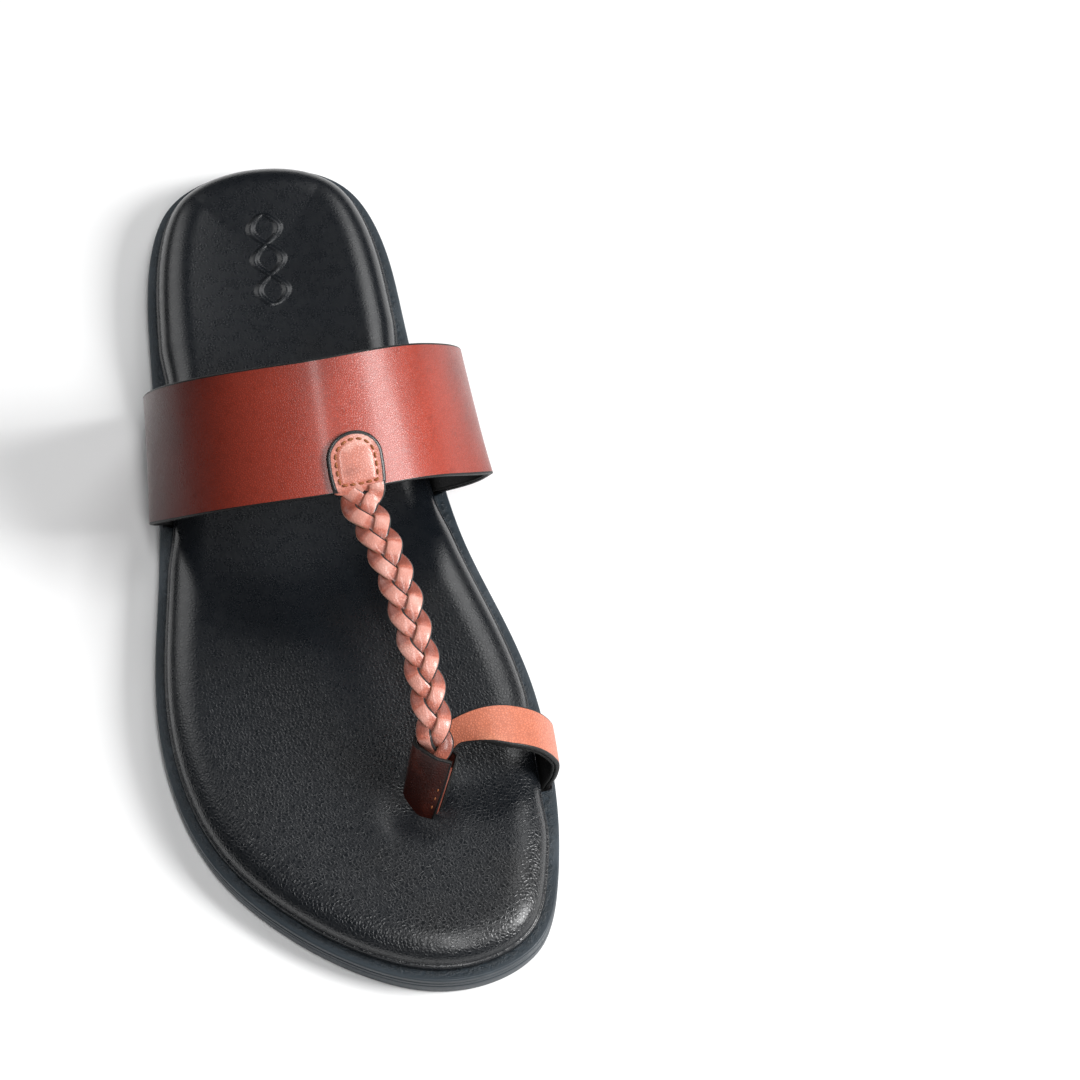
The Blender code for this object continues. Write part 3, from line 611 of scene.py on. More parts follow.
# ---- node trees ----------------------------------------------------------------------------------
class Graph:
    """Short ways to add nodes to one node tree and to join them."""

    def __init__(self, tree: bpy.types.NodeTree) -> None:
        """Keeps the tree that the nodes go into."""
        self.tree = tree

    def add(self, kind: str, **settings: object) -> bpy.types.Node:
        """A new node of a kind, with its properties set."""
        node = self.tree.nodes.new(kind)
        for name, value in settings.items():
            setattr(node, name, value)
        return node

    def put(self, socket: bpy.types.NodeSocket, value: object) -> None:
        """Joins an output to the socket, or sets the socket's own value."""
        if isinstance(value, bpy.types.NodeSocket):
            self.tree.links.new(value, socket)
        elif isinstance(value, (tuple, list)) and socket.type == "RGBA":
            socket.default_value = (*value[:3], 1.0)
        else:
            socket.default_value = value

    def math(self, operation: str, a: object, b: object = 0.0,
             c: object = 0.0) -> bpy.types.NodeSocket:
        """The result of a Math node."""
        node = self.add("ShaderNodeMath", operation=operation)
        for socket, value in zip(node.inputs, (a, b, c)):
            self.put(socket, value)
        return node.outputs[0]

    def mix(self, share: object, a: object, b: object) -> bpy.types.NodeSocket:
        """A colour between a and b."""
        node = self.add("ShaderNodeMix", data_type="RGBA")
        self.put(node.inputs["Factor"], share)
        self.put(node.inputs[6], a)
        self.put(node.inputs[7], b)
        return node.outputs[2]

    def span(self, value: object, low: float, high: float, to_low: object = 0.0,
             to_high: object = 1.0) -> bpy.types.NodeSocket:
        """The value carried smoothly from one range to another, and held at its ends."""
        node = self.add("ShaderNodeMapRange", interpolation_type="SMOOTHSTEP")
        for name, setting in zip(("Value", "From Min", "From Max", "To Min", "To Max"),
                                 (value, low, high, to_low, to_high)):
            self.put(node.inputs[name], setting)
        return node.outputs["Result"]

    def noise(self, vector: object, scale: object, detail: float = 3.0,
              roughness: float = 0.55) -> bpy.types.NodeSocket:
        """The value of a Noise Texture."""
        node = self.add("ShaderNodeTexNoise")
        for name, setting in zip(("Vector", "Scale", "Detail", "Roughness"),
                                 (vector, scale, detail, roughness)):
            self.put(node.inputs[name], setting)
        return node.outputs["Fac"]

    def attribute(self, name: str) -> bpy.types.NodeSocket:
        """A named value of the mesh."""
        return self.add("ShaderNodeAttribute", attribute_name=name).outputs["Fac"]

    def place_on_object(self) -> bpy.types.NodeSocket:
        """Object coordinates."""
        return self.add("ShaderNodeTexCoord").outputs["Object"]


class Effects(Enum):
    """The shader node groups that finishes share."""

    GRAIN = "leather_grain"
    PATINA = "patina"
    EDGE = "painted_edge"
    FIBRE = "fibre_twist"


GROUP_SOCKETS: dict[Effects, tuple[tuple[tuple[str, str], ...], tuple[tuple[str, str], ...]]] = {
    Effects.GRAIN: (
        (("Vector", "NodeSocketVector"), ("Cells", "NodeSocketFloat"), ("Pores", "NodeSocketFloat"),
         ("Wrinkle", "NodeSocketFloat")),
        (("Height", "NodeSocketFloat"), ("Crease", "NodeSocketFloat")),
    ),
    Effects.PATINA: (
        (("Vector", "NodeSocketVector"), ("Base", "NodeSocketColor"), ("Light", "NodeSocketColor"),
         ("Dark", "NodeSocketColor"), ("Clouds", "NodeSocketFloat")),
        (("Colour", "NodeSocketColor"), ("Wear", "NodeSocketFloat")),
    ),
    Effects.EDGE: (
        (("Vector", "NodeSocketVector"), ("Colour", "NodeSocketColor"), ("Paint", "NodeSocketColor"),
         ("Edge", "NodeSocketFloat")),
        (("Colour", "NodeSocketColor"), ("Painted", "NodeSocketFloat")),
    ),
    Effects.FIBRE: (
        (("Vector", "NodeSocketVector"), ("Threads", "NodeSocketFloat")),
        (("Height", "NodeSocketFloat"), ("Fleck", "NodeSocketFloat")),
    ),
}


class Workshop:
    """Builds each shared effect once and hands it to the finishes.

    A constant that ends in SHARE is multiplied by the effect's own scale.
    """

    WARP_SHARE = 0.35
    WARP_REACH = 0.5 * MM
    CREASE_REACH = 0.42
    PORE_SHARE = 2.6
    SLACK_SHARE = 0.06
    MOTTLE_SHARE = 14.0
    FLECK_SHARE = 2.2
    PLY_DISTORTION = 1.5
    WANDER_SCALE = 900.0
    THIN_SCALE = 420.0

    def __init__(self) -> None:
        """Starts with no group made."""
        self.made: dict[Effects, bpy.types.NodeTree] = {}

    def group(self, effect: Effects) -> bpy.types.NodeTree:
        """The node group of an effect."""
        if effect not in self.made:
            tree = bpy.data.node_groups.new(effect.value, "ShaderNodeTree")
            for direction, sockets in zip(("INPUT", "OUTPUT"), GROUP_SOCKETS[effect]):
                for name, kind in sockets:
                    tree.interface.new_socket(name=name, in_out=direction, socket_type=kind)
            graph = Graph(tree)
            given = graph.add("NodeGroupInput").outputs
            results = getattr(self, effect.name.lower())(graph, given)
            output = graph.add("NodeGroupOutput")
            for name, socket in results.items():
                graph.put(output.inputs[name], socket)
            self.made[effect] = tree
        return self.made[effect]

    def place(self, graph: Graph, effect: Effects, **values: object) -> bpy.types.NodeOutputs:
        """Puts an effect in a material and returns its outputs."""
        node = graph.add("ShaderNodeGroup", node_tree=self.group(effect))
        for name, value in values.items():
            graph.put(node.inputs[name], value)
        return node.outputs

    def grain(self, graph: Graph, given: bpy.types.NodeOutputs) -> dict[str, bpy.types.NodeSocket]:
        """Pebbled leather: rounded Voronoi cells with creases, pores and slack wrinkles; the finishes
        darken the creases as painted shade.
        """
        warp = graph.add("ShaderNodeVectorMath", operation="MULTIPLY_ADD")
        coarse = graph.add("ShaderNodeTexNoise")
        graph.put(coarse.inputs["Vector"], given["Vector"])
        graph.put(coarse.inputs["Scale"], graph.math("MULTIPLY", given["Cells"], self.WARP_SHARE))
        graph.put(warp.inputs[0], coarse.outputs["Color"])
        warp.inputs[1].default_value = (self.WARP_REACH,) * 3
        graph.put(warp.inputs[2], given["Vector"])
        cells = graph.add("ShaderNodeTexVoronoi", feature="DISTANCE_TO_EDGE")
        graph.put(cells.inputs["Vector"], warp.outputs[0])
        graph.put(cells.inputs["Scale"], given["Cells"])
        edge = graph.span(cells.outputs["Distance"], 0.0, self.CREASE_REACH, 1.0, 0.0)
        crease = graph.math("MULTIPLY", edge, edge)
        pore_scale = graph.math("MULTIPLY", given["Cells"], self.PORE_SHARE)
        pores = graph.noise(given["Vector"], pore_scale, detail=2.0, roughness=0.6)
        slack_scale = graph.math("MULTIPLY", given["Cells"], self.SLACK_SHARE)
        slack = graph.noise(given["Vector"], slack_scale, detail=3.0, roughness=0.5)
        height = graph.math("SUBTRACT", graph.math("MULTIPLY", pores, given["Pores"]), crease)
        height = graph.math("ADD", height, graph.math("MULTIPLY", slack, given["Wrinkle"]))
        return {"Height": height, "Crease": crease}

    def patina(self, graph: Graph, given: bpy.types.NodeOutputs) -> dict[str, bpy.types.NodeSocket]:
        """Soft clouds of lighter and darker dye, with fine mottling over them."""
        clouds = graph.noise(given["Vector"], given["Clouds"], detail=3.0, roughness=0.5)
        mottle_scale = graph.math("MULTIPLY", given["Clouds"], self.MOTTLE_SHARE)
        mottle = graph.noise(given["Vector"], mottle_scale, detail=3.0, roughness=0.65)
        colour = graph.mix(graph.span(clouds, 0.52, 0.74), given["Base"], given["Light"])
        colour = graph.mix(graph.span(clouds, 0.46, 0.18, 0.0, 0.6), colour, given["Dark"])
        colour = graph.mix(graph.span(mottle, 0.44, 0.28, 0.0, 0.16), colour, given["Dark"])
        return {"Colour": colour, "Wear": mottle}

    def edge(self, graph: Graph, given: bpy.types.NodeOutputs) -> dict[str, bpy.types.NodeSocket]:
        """Edge paint, whose line wanders a little and has thin spots."""
        wander = graph.noise(given["Vector"], self.WANDER_SCALE, detail=2.0, roughness=0.6)
        painted = graph.span(graph.math("ADD", given["Edge"], graph.math("MULTIPLY", wander, 0.5)),
                             0.55, 0.95)
        spots = graph.noise(given["Vector"], self.THIN_SCALE, detail=3.0, roughness=0.7)
        thin = graph.span(spots, 0.30, 0.20, 1.0, 0.75)
        share = graph.math("MULTIPLY", painted, thin)
        return {"Colour": graph.mix(share, given["Colour"], given["Paint"]), "Painted": share}

    def fibre(self, graph: Graph, given: bpy.types.NodeOutputs) -> dict[str, bpy.types.NodeSocket]:
        """Slanted plies with loose fibres, as on waxed thread and pressed board."""
        wave = graph.add("ShaderNodeTexWave", bands_direction="DIAGONAL")
        graph.put(wave.inputs["Vector"], given["Vector"])
        graph.put(wave.inputs["Scale"], given["Threads"])
        wave.inputs["Distortion"].default_value = self.PLY_DISTORTION
        fleck_scale = graph.math("MULTIPLY", given["Threads"], self.FLECK_SHARE)
        fleck = graph.noise(given["Vector"], fleck_scale, detail=3.0, roughness=0.7)
        return {"Height": graph.math("ADD", wave.outputs["Fac"], fleck), "Fleck": fleck}


# ---- finishes ------------------------------------------------------------------------------------
def deeper(colour: Colour, share: float) -> Colour:
    """The colour at a share of its brightness."""
    return tuple(channel * share for channel in colour)


@dataclass(frozen=True)
class Finish(ABC):
    """What every finish has: its name, its colour and how rough it is."""

    name: str
    base: Colour
    roughness: float

    def start(self) -> tuple[bpy.types.Material, Graph, bpy.types.Node]:
        """A new material, its graph and its Principled shader, with the constant values set."""
        made = bpy.data.materials.new(self.name)
        made.use_nodes = True
        shader = made.node_tree.nodes["Principled BSDF"]
        shader.inputs["Base Color"].default_value = (*self.base, 1.0)
        shader.inputs["Roughness"].default_value = self.roughness
        return made, Graph(made.node_tree), shader

    def relief(self, graph: Graph, shader: bpy.types.Node, height: object, depth: float) -> None:
        """Feeds a height of that depth in metres to the shader's normal."""
        bump = graph.add("ShaderNodeBump")
        bump.inputs["Distance"].default_value = depth
        graph.put(bump.inputs["Height"], height)
        graph.put(shader.inputs["Normal"], bump.outputs["Normal"])

    @abstractmethod
    def make(self, shop: Workshop) -> bpy.types.Material:
        """The finish's material, with the shared effects taken from the workshop."""


@dataclass(frozen=True)
class Leather(Finish):
    """Dyed leather with grain, patina and painted cut edges."""

    light: Colour = (0.5, 0.5, 0.5)
    dark: Colour = (0.1, 0.1, 0.1)
    paint: Colour = (0.002, 0.002, 0.002)
    clouds: float = 32.0
    cells: float = 1500.0
    depth: float = 0.05 * MM
    pores: float = 0.6
    wrinkle: float = 0.8
    polish: float = 0.0
    polish_roughness: float = 0.18
    shine: float = 0.5
    # Darkening of the two ends: partly burnish, partly painted shade.
    burnish_and_shade: Pair = (0.0, 0.0)
    raw_edge: Colour | None = None
    # Strength of the painted shade where a braid strand dips under the others.
    tucked_shade: float = 0.0

    def make(self, shop: Workshop) -> bpy.types.Material:
        """The material: dye clouds, ends darkened partly as burnish and partly as painted shade,
        painted shade in the grain's creases, paint on the edges, and grain in the normal.
        """
        made, graph, shader = self.start()
        where = graph.place_on_object()
        dye = shop.place(graph, Effects.PATINA, Vector=where, Base=self.base, Light=self.light,
                         Dark=self.dark, Clouds=self.clouds)
        grain = shop.place(graph, Effects.GRAIN, Vector=where, Cells=self.cells, Pores=self.pores,
                           Wrinkle=self.wrinkle)
        colour = dye["Colour"]
        # Painted shade with some burnish: both ends are darkened towards the dark colour.
        if any(self.burnish_and_shade):
            run = graph.attribute("run")
            colour = graph.mix(graph.span(run, 0.54, 0.20, 0.0, self.burnish_and_shade[0]), colour, self.dark)
            colour = graph.mix(graph.span(run, 0.62, 0.90, 0.0, self.burnish_and_shade[1]), colour, self.dark)
        # Painted shade: the grain's creases are darkened in the colour.
        colour = graph.mix(graph.math("MULTIPLY", grain["Crease"], 0.35), colour, self.dark)
        # Painted shade where a braid strand dips under the others, and a painted highlight on the
        # crest where it lies on top.
        if self.tucked_shade:
            crest = graph.attribute("crest")
            colour = graph.mix(graph.span(crest, 0.75, 0.05, 0.0, self.tucked_shade), colour, self.dark)
            colour = graph.mix(graph.span(crest, 0.80, 1.0, 0.0, 0.45), colour, self.light)
        if self.raw_edge is not None:
            raw = graph.span(graph.attribute("raw"), 0.4, 0.8)
            colour = graph.mix(raw, colour, self.raw_edge)
        cut = shop.place(graph, Effects.EDGE, Vector=where, Colour=colour, Paint=self.paint,
                         Edge=graph.attribute("edge"))
        graph.put(shader.inputs["Base Color"], cut["Colour"])
        rough = graph.math("MULTIPLY_ADD", dye["Wear"], 0.16, self.roughness - 0.08)
        rough = graph.math("MULTIPLY_ADD", grain["Crease"], 0.12, rough)
        rough = graph.math("MULTIPLY_ADD", cut["Painted"], 0.25, rough)
        graph.put(shader.inputs["Roughness"], rough)
        shader.inputs["Specular IOR Level"].default_value = self.shine
        shader.inputs["Coat Weight"].default_value = self.polish
        shader.inputs["Coat Roughness"].default_value = self.polish_roughness
        self.relief(graph, shader, grain["Height"], self.depth)
        return made


@dataclass(frozen=True)
class FootbedLeather(Finish):
    """Black leather, pebbled over the forepart, smoother at the heel, with a pressed heel mark."""

    light: Colour = (0.02, 0.02, 0.02)
    clouds: float = 22.0
    cells: float = 950.0
    depth: float = 0.075 * MM
    pores: float = 0.12
    wrinkle: float = 1.6
    polish: float = 0.28
    polish_roughness: float = 0.26
    grain_fade: Pair = (0.0, -0.10)
    heel_grain: float = 0.20
    mark_middle: Pair = (0.0, 0.1)
    mark_length: float = 34.0 * MM
    mark_swing: float = 4.2 * MM
    mark_links: float = 1.5
    mark_line: float = 1.7 * MM
    mark_depth: float = 0.45 * MM

    def mark(self, graph: Graph, where: object) -> bpy.types.NodeSocket:
        """Height of the heel mark: two waves that cross like the links of a plain chain.

        The waves are x = +-swing*cos(2*pi*links*y/length), from the mark's middle. A point's height
        falls with its distance from the nearer one, and both waves stop at the mark's ends.
        """
        parts = graph.add("ShaderNodeSeparateXYZ")
        graph.put(parts.inputs[0], where)
        x = graph.math("SUBTRACT", parts.outputs["X"], self.mark_middle[0])
        y = graph.math("SUBTRACT", parts.outputs["Y"], self.mark_middle[1])
        phase = graph.math("MULTIPLY", y, math.pi * self.mark_links * 2 / self.mark_length)
        wave = graph.math("MULTIPLY", graph.math("COSINE", phase), self.mark_swing)
        near = graph.math("ABSOLUTE", graph.math("SUBTRACT", graph.math("ABSOLUTE", x),
                                                 graph.math("ABSOLUTE", wave)))
        line = graph.span(near, 0.0, self.mark_line, 1.0, 0.0)
        inside = graph.span(graph.math("ABSOLUTE", y), self.mark_length * 0.5,
                            self.mark_length * 0.47, 0.0, 1.0)
        return graph.math("MULTIPLY", line, inside)

    def make(self, shop: Workshop) -> bpy.types.Material:
        """The material: grain that fades towards the heel, faint dye clouds and the heel mark."""
        made, graph, shader = self.start()
        where = graph.place_on_object()
        parts = graph.add("ShaderNodeSeparateXYZ")
        graph.put(parts.inputs[0], where)
        fore = graph.span(parts.outputs["Y"], *self.grain_fade, self.heel_grain, 1.0)
        dye = shop.place(graph, Effects.PATINA, Vector=where, Base=self.base, Light=self.light,
                         Dark=deeper(self.base, 0.55), Clouds=self.clouds)
        grain = shop.place(graph, Effects.GRAIN, Vector=where, Cells=self.cells, Pores=self.pores,
                           Wrinkle=self.wrinkle)
        graph.put(shader.inputs["Base Color"], dye["Colour"])
        rough = graph.math("MULTIPLY_ADD", dye["Wear"], 0.20, self.roughness - 0.10)
        rough = graph.math("MULTIPLY_ADD", graph.math("MULTIPLY", grain["Crease"], fore), 0.14, rough)
        graph.put(shader.inputs["Roughness"], rough)
        shader.inputs["Coat Weight"].default_value = self.polish
        shader.inputs["Coat Roughness"].default_value = self.polish_roughness
        height = graph.math("MULTIPLY", grain["Height"], fore)
        stamp = graph.math("MULTIPLY", self.mark(graph, where), self.mark_depth / self.depth)
        self.relief(graph, shader, graph.math("ADD", height, stamp), self.depth)
        return made


@dataclass(frozen=True)
class Rubber(Finish):
    """Matt moulded rubber with a fine bloom and a rough line where the footbed is glued."""

    bloom: Colour = (0.08, 0.09, 0.10)
    clouds: float = 60.0
    glue_scale: float = 700.0
    fine_scale: float = 2600.0
    depth: float = 0.03 * MM

    def make(self, shop: Workshop) -> bpy.types.Material:
        """The material: mottled bloom in the colour and fine moulding grain in the normal."""
        made, graph, shader = self.start()
        where = graph.place_on_object()
        dye = shop.place(graph, Effects.PATINA, Vector=where, Base=self.base, Light=self.bloom,
                         Dark=deeper(self.base, 0.6), Clouds=self.clouds)
        smears = graph.noise(where, self.glue_scale, detail=4.0, roughness=0.7)
        glue = graph.math("MULTIPLY", graph.attribute("glue"), graph.span(smears, 0.38, 0.62))
        colour = graph.mix(graph.math("MULTIPLY", glue, 0.6), dye["Colour"],
                           deeper(self.base, 0.25))
        graph.put(shader.inputs["Base Color"], colour)
        graph.put(shader.inputs["Roughness"],
                  graph.math("MULTIPLY_ADD", dye["Wear"], 0.22, self.roughness - 0.11))
        fine = graph.noise(where, self.fine_scale, detail=3.0, roughness=0.6)
        self.relief(graph, shader, graph.math("MULTIPLY_ADD", glue, 5.0, fine), self.depth)
        return made


@dataclass(frozen=True)
class Fibrous(Finish):
    """Waxed thread or pressed board, by the size of its fibres."""

    threads: float = 900.0
    depth: float = 0.05 * MM

    def make(self, shop: Workshop) -> bpy.types.Material:
        """The material: slanted fibres in the normal and flecks in the colour."""
        made, graph, shader = self.start()
        where = graph.place_on_object()
        fibre = shop.place(graph, Effects.FIBRE, Vector=where, Threads=self.threads)
        colour = graph.mix(graph.span(fibre["Fleck"], 0.62, 0.36), self.base,
                           deeper(self.base, 0.45))
        graph.put(shader.inputs["Base Color"], colour)
        graph.put(shader.inputs["Roughness"],
                  graph.math("MULTIPLY_ADD", fibre["Fleck"], 0.2, self.roughness - 0.1))
        self.relief(graph, shader, fibre["Height"], self.depth)
        return made


@dataclass(frozen=True)
class Foam(Finish):
    """Closed-cell foam or filler sheet, by the size of its cells."""

    cells: float = 1400.0
    depth: float = 0.12 * MM

    def make(self, shop: Workshop) -> bpy.types.Material:
        """The material: rounded cells in the normal, with painted shade between them."""
        made, graph, shader = self.start()
        where = graph.place_on_object()
        grain = shop.place(graph, Effects.GRAIN, Vector=where, Cells=self.cells, Pores=0.8,
                           Wrinkle=0.4)
        # Painted shade between the cells.
        colour = graph.mix(grain["Crease"], self.base, deeper(self.base, 0.6))
        graph.put(shader.inputs["Base Color"], colour)
        self.relief(graph, shader, grain["Height"], self.depth)
        return made


RUBBER = Rubber("sole_rubber", (0.024, 0.034, 0.043), 0.46, bloom=(0.045, 0.058, 0.070))
FOOTBED = FootbedLeather("black_footbed_leather", (0.0040, 0.0054, 0.0076), 0.27,
                         light=(0.0060, 0.0066, 0.0076))
CHESTNUT = Leather("chestnut_leather", (0.38, 0.048, 0.026), 0.28, light=(0.45, 0.064, 0.036),
                   dark=(0.032, 0.004, 0.003), clouds=20.0, cells=1700.0, depth=0.030 * MM,
                   pores=0.9, wrinkle=0.5, polish=0.18, shine=0.3, burnish_and_shade=(0.92, 0.72))
LINING = Leather("black_lining", (0.006, 0.006, 0.0065), 0.50, light=(0.010, 0.010, 0.011),
                 dark=(0.003, 0.003, 0.003), depth=0.04 * MM)
BRAID = Leather("braid_leather", (0.52, 0.155, 0.102), 0.36, light=(0.76, 0.40, 0.33),
                dark=(0.16, 0.032, 0.018), clouds=140.0, cells=1300.0, depth=0.045 * MM,
                pores=0.8, wrinkle=1.6, polish=0.35, raw_edge=(0.42, 0.20, 0.13),
                tucked_shade=0.7)
TAN = Leather("tan_leather", (0.60, 0.185, 0.105), 0.36, light=(0.68, 0.27, 0.165),
              dark=(0.13, 0.024, 0.011), clouds=45.0, cells=1300.0, depth=0.045 * MM,
              pores=0.8, wrinkle=0.8, polish=0.15, burnish_and_shade=(0.0, 0.55))
DARK = Leather("dark_wrap_leather", (0.045, 0.008, 0.005), 0.26, light=(0.10, 0.020, 0.011),
               dark=(0.015, 0.004, 0.003), clouds=110.0, cells=1100.0, depth=0.05 * MM,
               pores=0.7, wrinkle=2.0, polish=0.15, shine=0.35)
THREAD = Fibrous("tan_thread", (0.38, 0.12, 0.034), 0.60, threads=1500.0)
BOARD = Fibrous("fibre_board", (0.42, 0.33, 0.22), 0.85, threads=500.0)
FOAM = Foam("cushion_foam", (0.25, 0.25, 0.26), 0.9)
FILLER = Foam("filler_foam", (0.55, 0.52, 0.46), 0.9, cells=900.0)


# ---- making pieces -------------------------------------------------------------------------------
@dataclass
class Bench:
    """Turns shells into pieces of the object and keeps one material for each finish."""

    shop: Workshop = field(default_factory=Workshop)
    materials: dict[str, bpy.types.Material] = field(default_factory=dict)

    def material(self, finish: Finish) -> bpy.types.Material:
        """The material of a finish, made the first time it is asked for."""
        if finish.name not in self.materials:
            self.materials[finish.name] = finish.make(self.shop)
        return self.materials[finish.name]

    def piece(self, name: str, shell: Shell, finish: Finish, replaced: Sequence[str],
              crisp: float = 40.0) -> bpy.types.Object:
        """Makes a piece of the object from a shell.

        Points that coincide are merged, and a closed piece whose volume comes out negative is
        turned, so that its faces point outwards.

        Args:
            name: Name of the piece.
            shell: Its points, faces and values.
            finish: Its finish.
            replaced: CAD nodes that it stands for.
            crisp: Angle in degrees above which an edge stays sharp.

        Returns:
            The new object.
        """
        mesh = bpy.data.meshes.new(name)
        faces = [face for block in shell.faces for face in block.tolist()]
        mesh.from_pydata(shell.points.tolist(), [], faces)
        for label, values in shell.values.items():
            layer = mesh.attributes.new(label, "FLOAT", "POINT")
            layer.data.foreach_set("value", values.astype(np.float32))
        bm = bmesh.new()
        bm.from_mesh(mesh)
        bmesh.ops.remove_doubles(bm, verts=bm.verts, dist=MERGE_WITHIN)
        bmesh.ops.dissolve_degenerate(bm, edges=bm.edges, dist=DEGENERATE_BELOW)
        if bm.calc_volume(signed=True) < 0:
            bmesh.ops.reverse_faces(bm, faces=bm.faces)
        bm.to_mesh(mesh)
        bm.free()
        mesh.materials.append(self.material(finish))
        mesh.shade_smooth()
        mesh.set_sharp_from_angle(angle=math.radians(crisp))
        made = bpy.data.objects.new(name, mesh)
        bpy.context.scene.collection.objects.link(made)
        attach(made, BODY)
        if replaced:
            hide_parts(*replaced)
        LOG.info("%s: %d faces, for %s", name, len(mesh.polygons), ", ".join(replaced) or "itself")
        return made

    def dress(self, node: bpy.types.Object, finish: Finish) -> None:
        """Gives a CAD node a finish through its material slots."""
        for place in node.material_slots:
            place.material = self.material(finish)
        LOG.info("%s: kept, in %s", node.name, finish.name)


# ---- sub-assemblies ------------------------------------------------------------------------------
@dataclass
class Outsole:
    """The rubber outsole: tread, side grooves, ledge, pocket and strap channels."""

    shape: SoleShape
    count: int = 1000
    edge_radius: float = 0.8 * MM
    lip_radius: float = 0.48 * MM
    wall_rows: int = 46
    taper: float = 0.35 * MM
    groove_heights: tuple[float, ...] = (5.75 * MM, 4.3 * MM)
    groove_depths: tuple[float, ...] = (0.45 * MM, 0.22 * MM)
    groove_half: float = 0.42 * MM
    pocket_inset: float = 8.0 * MM
    tread_depth: float = 1.4 * MM
    tread_width: float = 2.6 * MM
    tread_slope: float = 1.1 * MM
    tread_pitch: float = 11.5 * MM
    tread_margin: float = 10.0 * MM
    plain: Pair = (-0.06, 0.16)
    channel_ramp: float = 0.6 * MM
    ledge_rows: Pair = (0.6 * MM, 0.9 * MM)
    floor_columns: int = 6
    tread_columns: int = 62

    def wall(self) -> list[Pair]:
        """Inset and height up the side: round foot, grooves pressed in as bells, round lip."""
        high, radius, lip = self.shape.thickness, self.edge_radius, self.lip_radius
        foot = [(inset + self.taper, z) for inset, z in round_in(radius, (90, 60, 30))]
        z = np.linspace(radius, high - lip, self.wall_rows)
        inset = self.taper * smooth_share(1 - z / (0.5 * high))
        for height, depth in zip(self.groove_heights, self.groove_depths):
            inset = inset + depth * np.exp(-(((z - height) / (0.5 * self.groove_half)) ** 4))
        top = [(inward_by, high - drop) for inward_by, drop in round_in(lip, (30, 60, 90))]
        return foot + list(zip(inset.tolist(), z.tolist())) + top

    def tread(self, x: Array, y: Array) -> Array:
        """Depth of the cross grooves at a place under the sole, which stop short of the edge."""
        phase = y / self.tread_pitch
        off = np.abs(phase - np.round(phase)) * self.tread_pitch
        groove = smooth_share((self.tread_width / 2 - off) / self.tread_slope + 0.5)
        left = x - self.shape.edge_x(-1, y) - self.tread_margin
        right = self.shape.edge_x(1, y) - self.tread_margin - x
        inside = smooth_share(np.minimum(left, right) / (2 * self.tread_slope))
        reach = self.shape.length / 2 - self.tread_margin - 0.5 * self.tread_pitch
        used = (np.abs(y) < reach) & ~(
            (y > self.plain[0] * self.shape.length) & (y < self.plain[1] * self.shape.length))
        return self.tread_depth * groove * inside * used

    def build(self, bench: Bench, seats: Seats) -> None:
        """Builds the outsole.

        Args:
            bench: Makes the piece.
            seats: Side and y range of each strap end.
        """
        shape = self.shape
        ring = shape.ring(self.count)
        mask = beside(ring, seats, 2 * CLEARANCE, self.channel_ramp)
        side = self.wall()
        high = shape.thickness
        ledge = np.linspace(*self.ledge_rows, 3)
        profile = side + [(amount, high) for amount in ledge]
        edge_rows = len(profile)
        profile += [(shape.ledge * 0.8, high), (self.pocket_inset, high),
                    (self.pocket_inset, shape.pocket_floor)]

        def inset(amount: float, row: int) -> Array:
            """Draws the pocket's rows out to the channel wall beside each strap."""
            if row < edge_rows:
                return np.full(len(ring), amount)
            return amount * (1 - mask) + min(amount, shape.channel_inset) * mask

        shell = pillow(ring, profile, self.floor_columns, inset, first_columns=self.tread_columns)
        under = shell.points[:, 2] < TINY
        depth = self.tread(shell.points[:, 0], shell.points[:, 1])
        shell.points[:, 2] += np.where(under, depth, 0.0)
        row = shell.values.pop("row")
        shell.values["glue"] = bump_at(row, edge_rows, 0.9)
        bench.piece("sole_rubber_outsole", shell, RUBBER, ["outsole"], crisp=50.0)


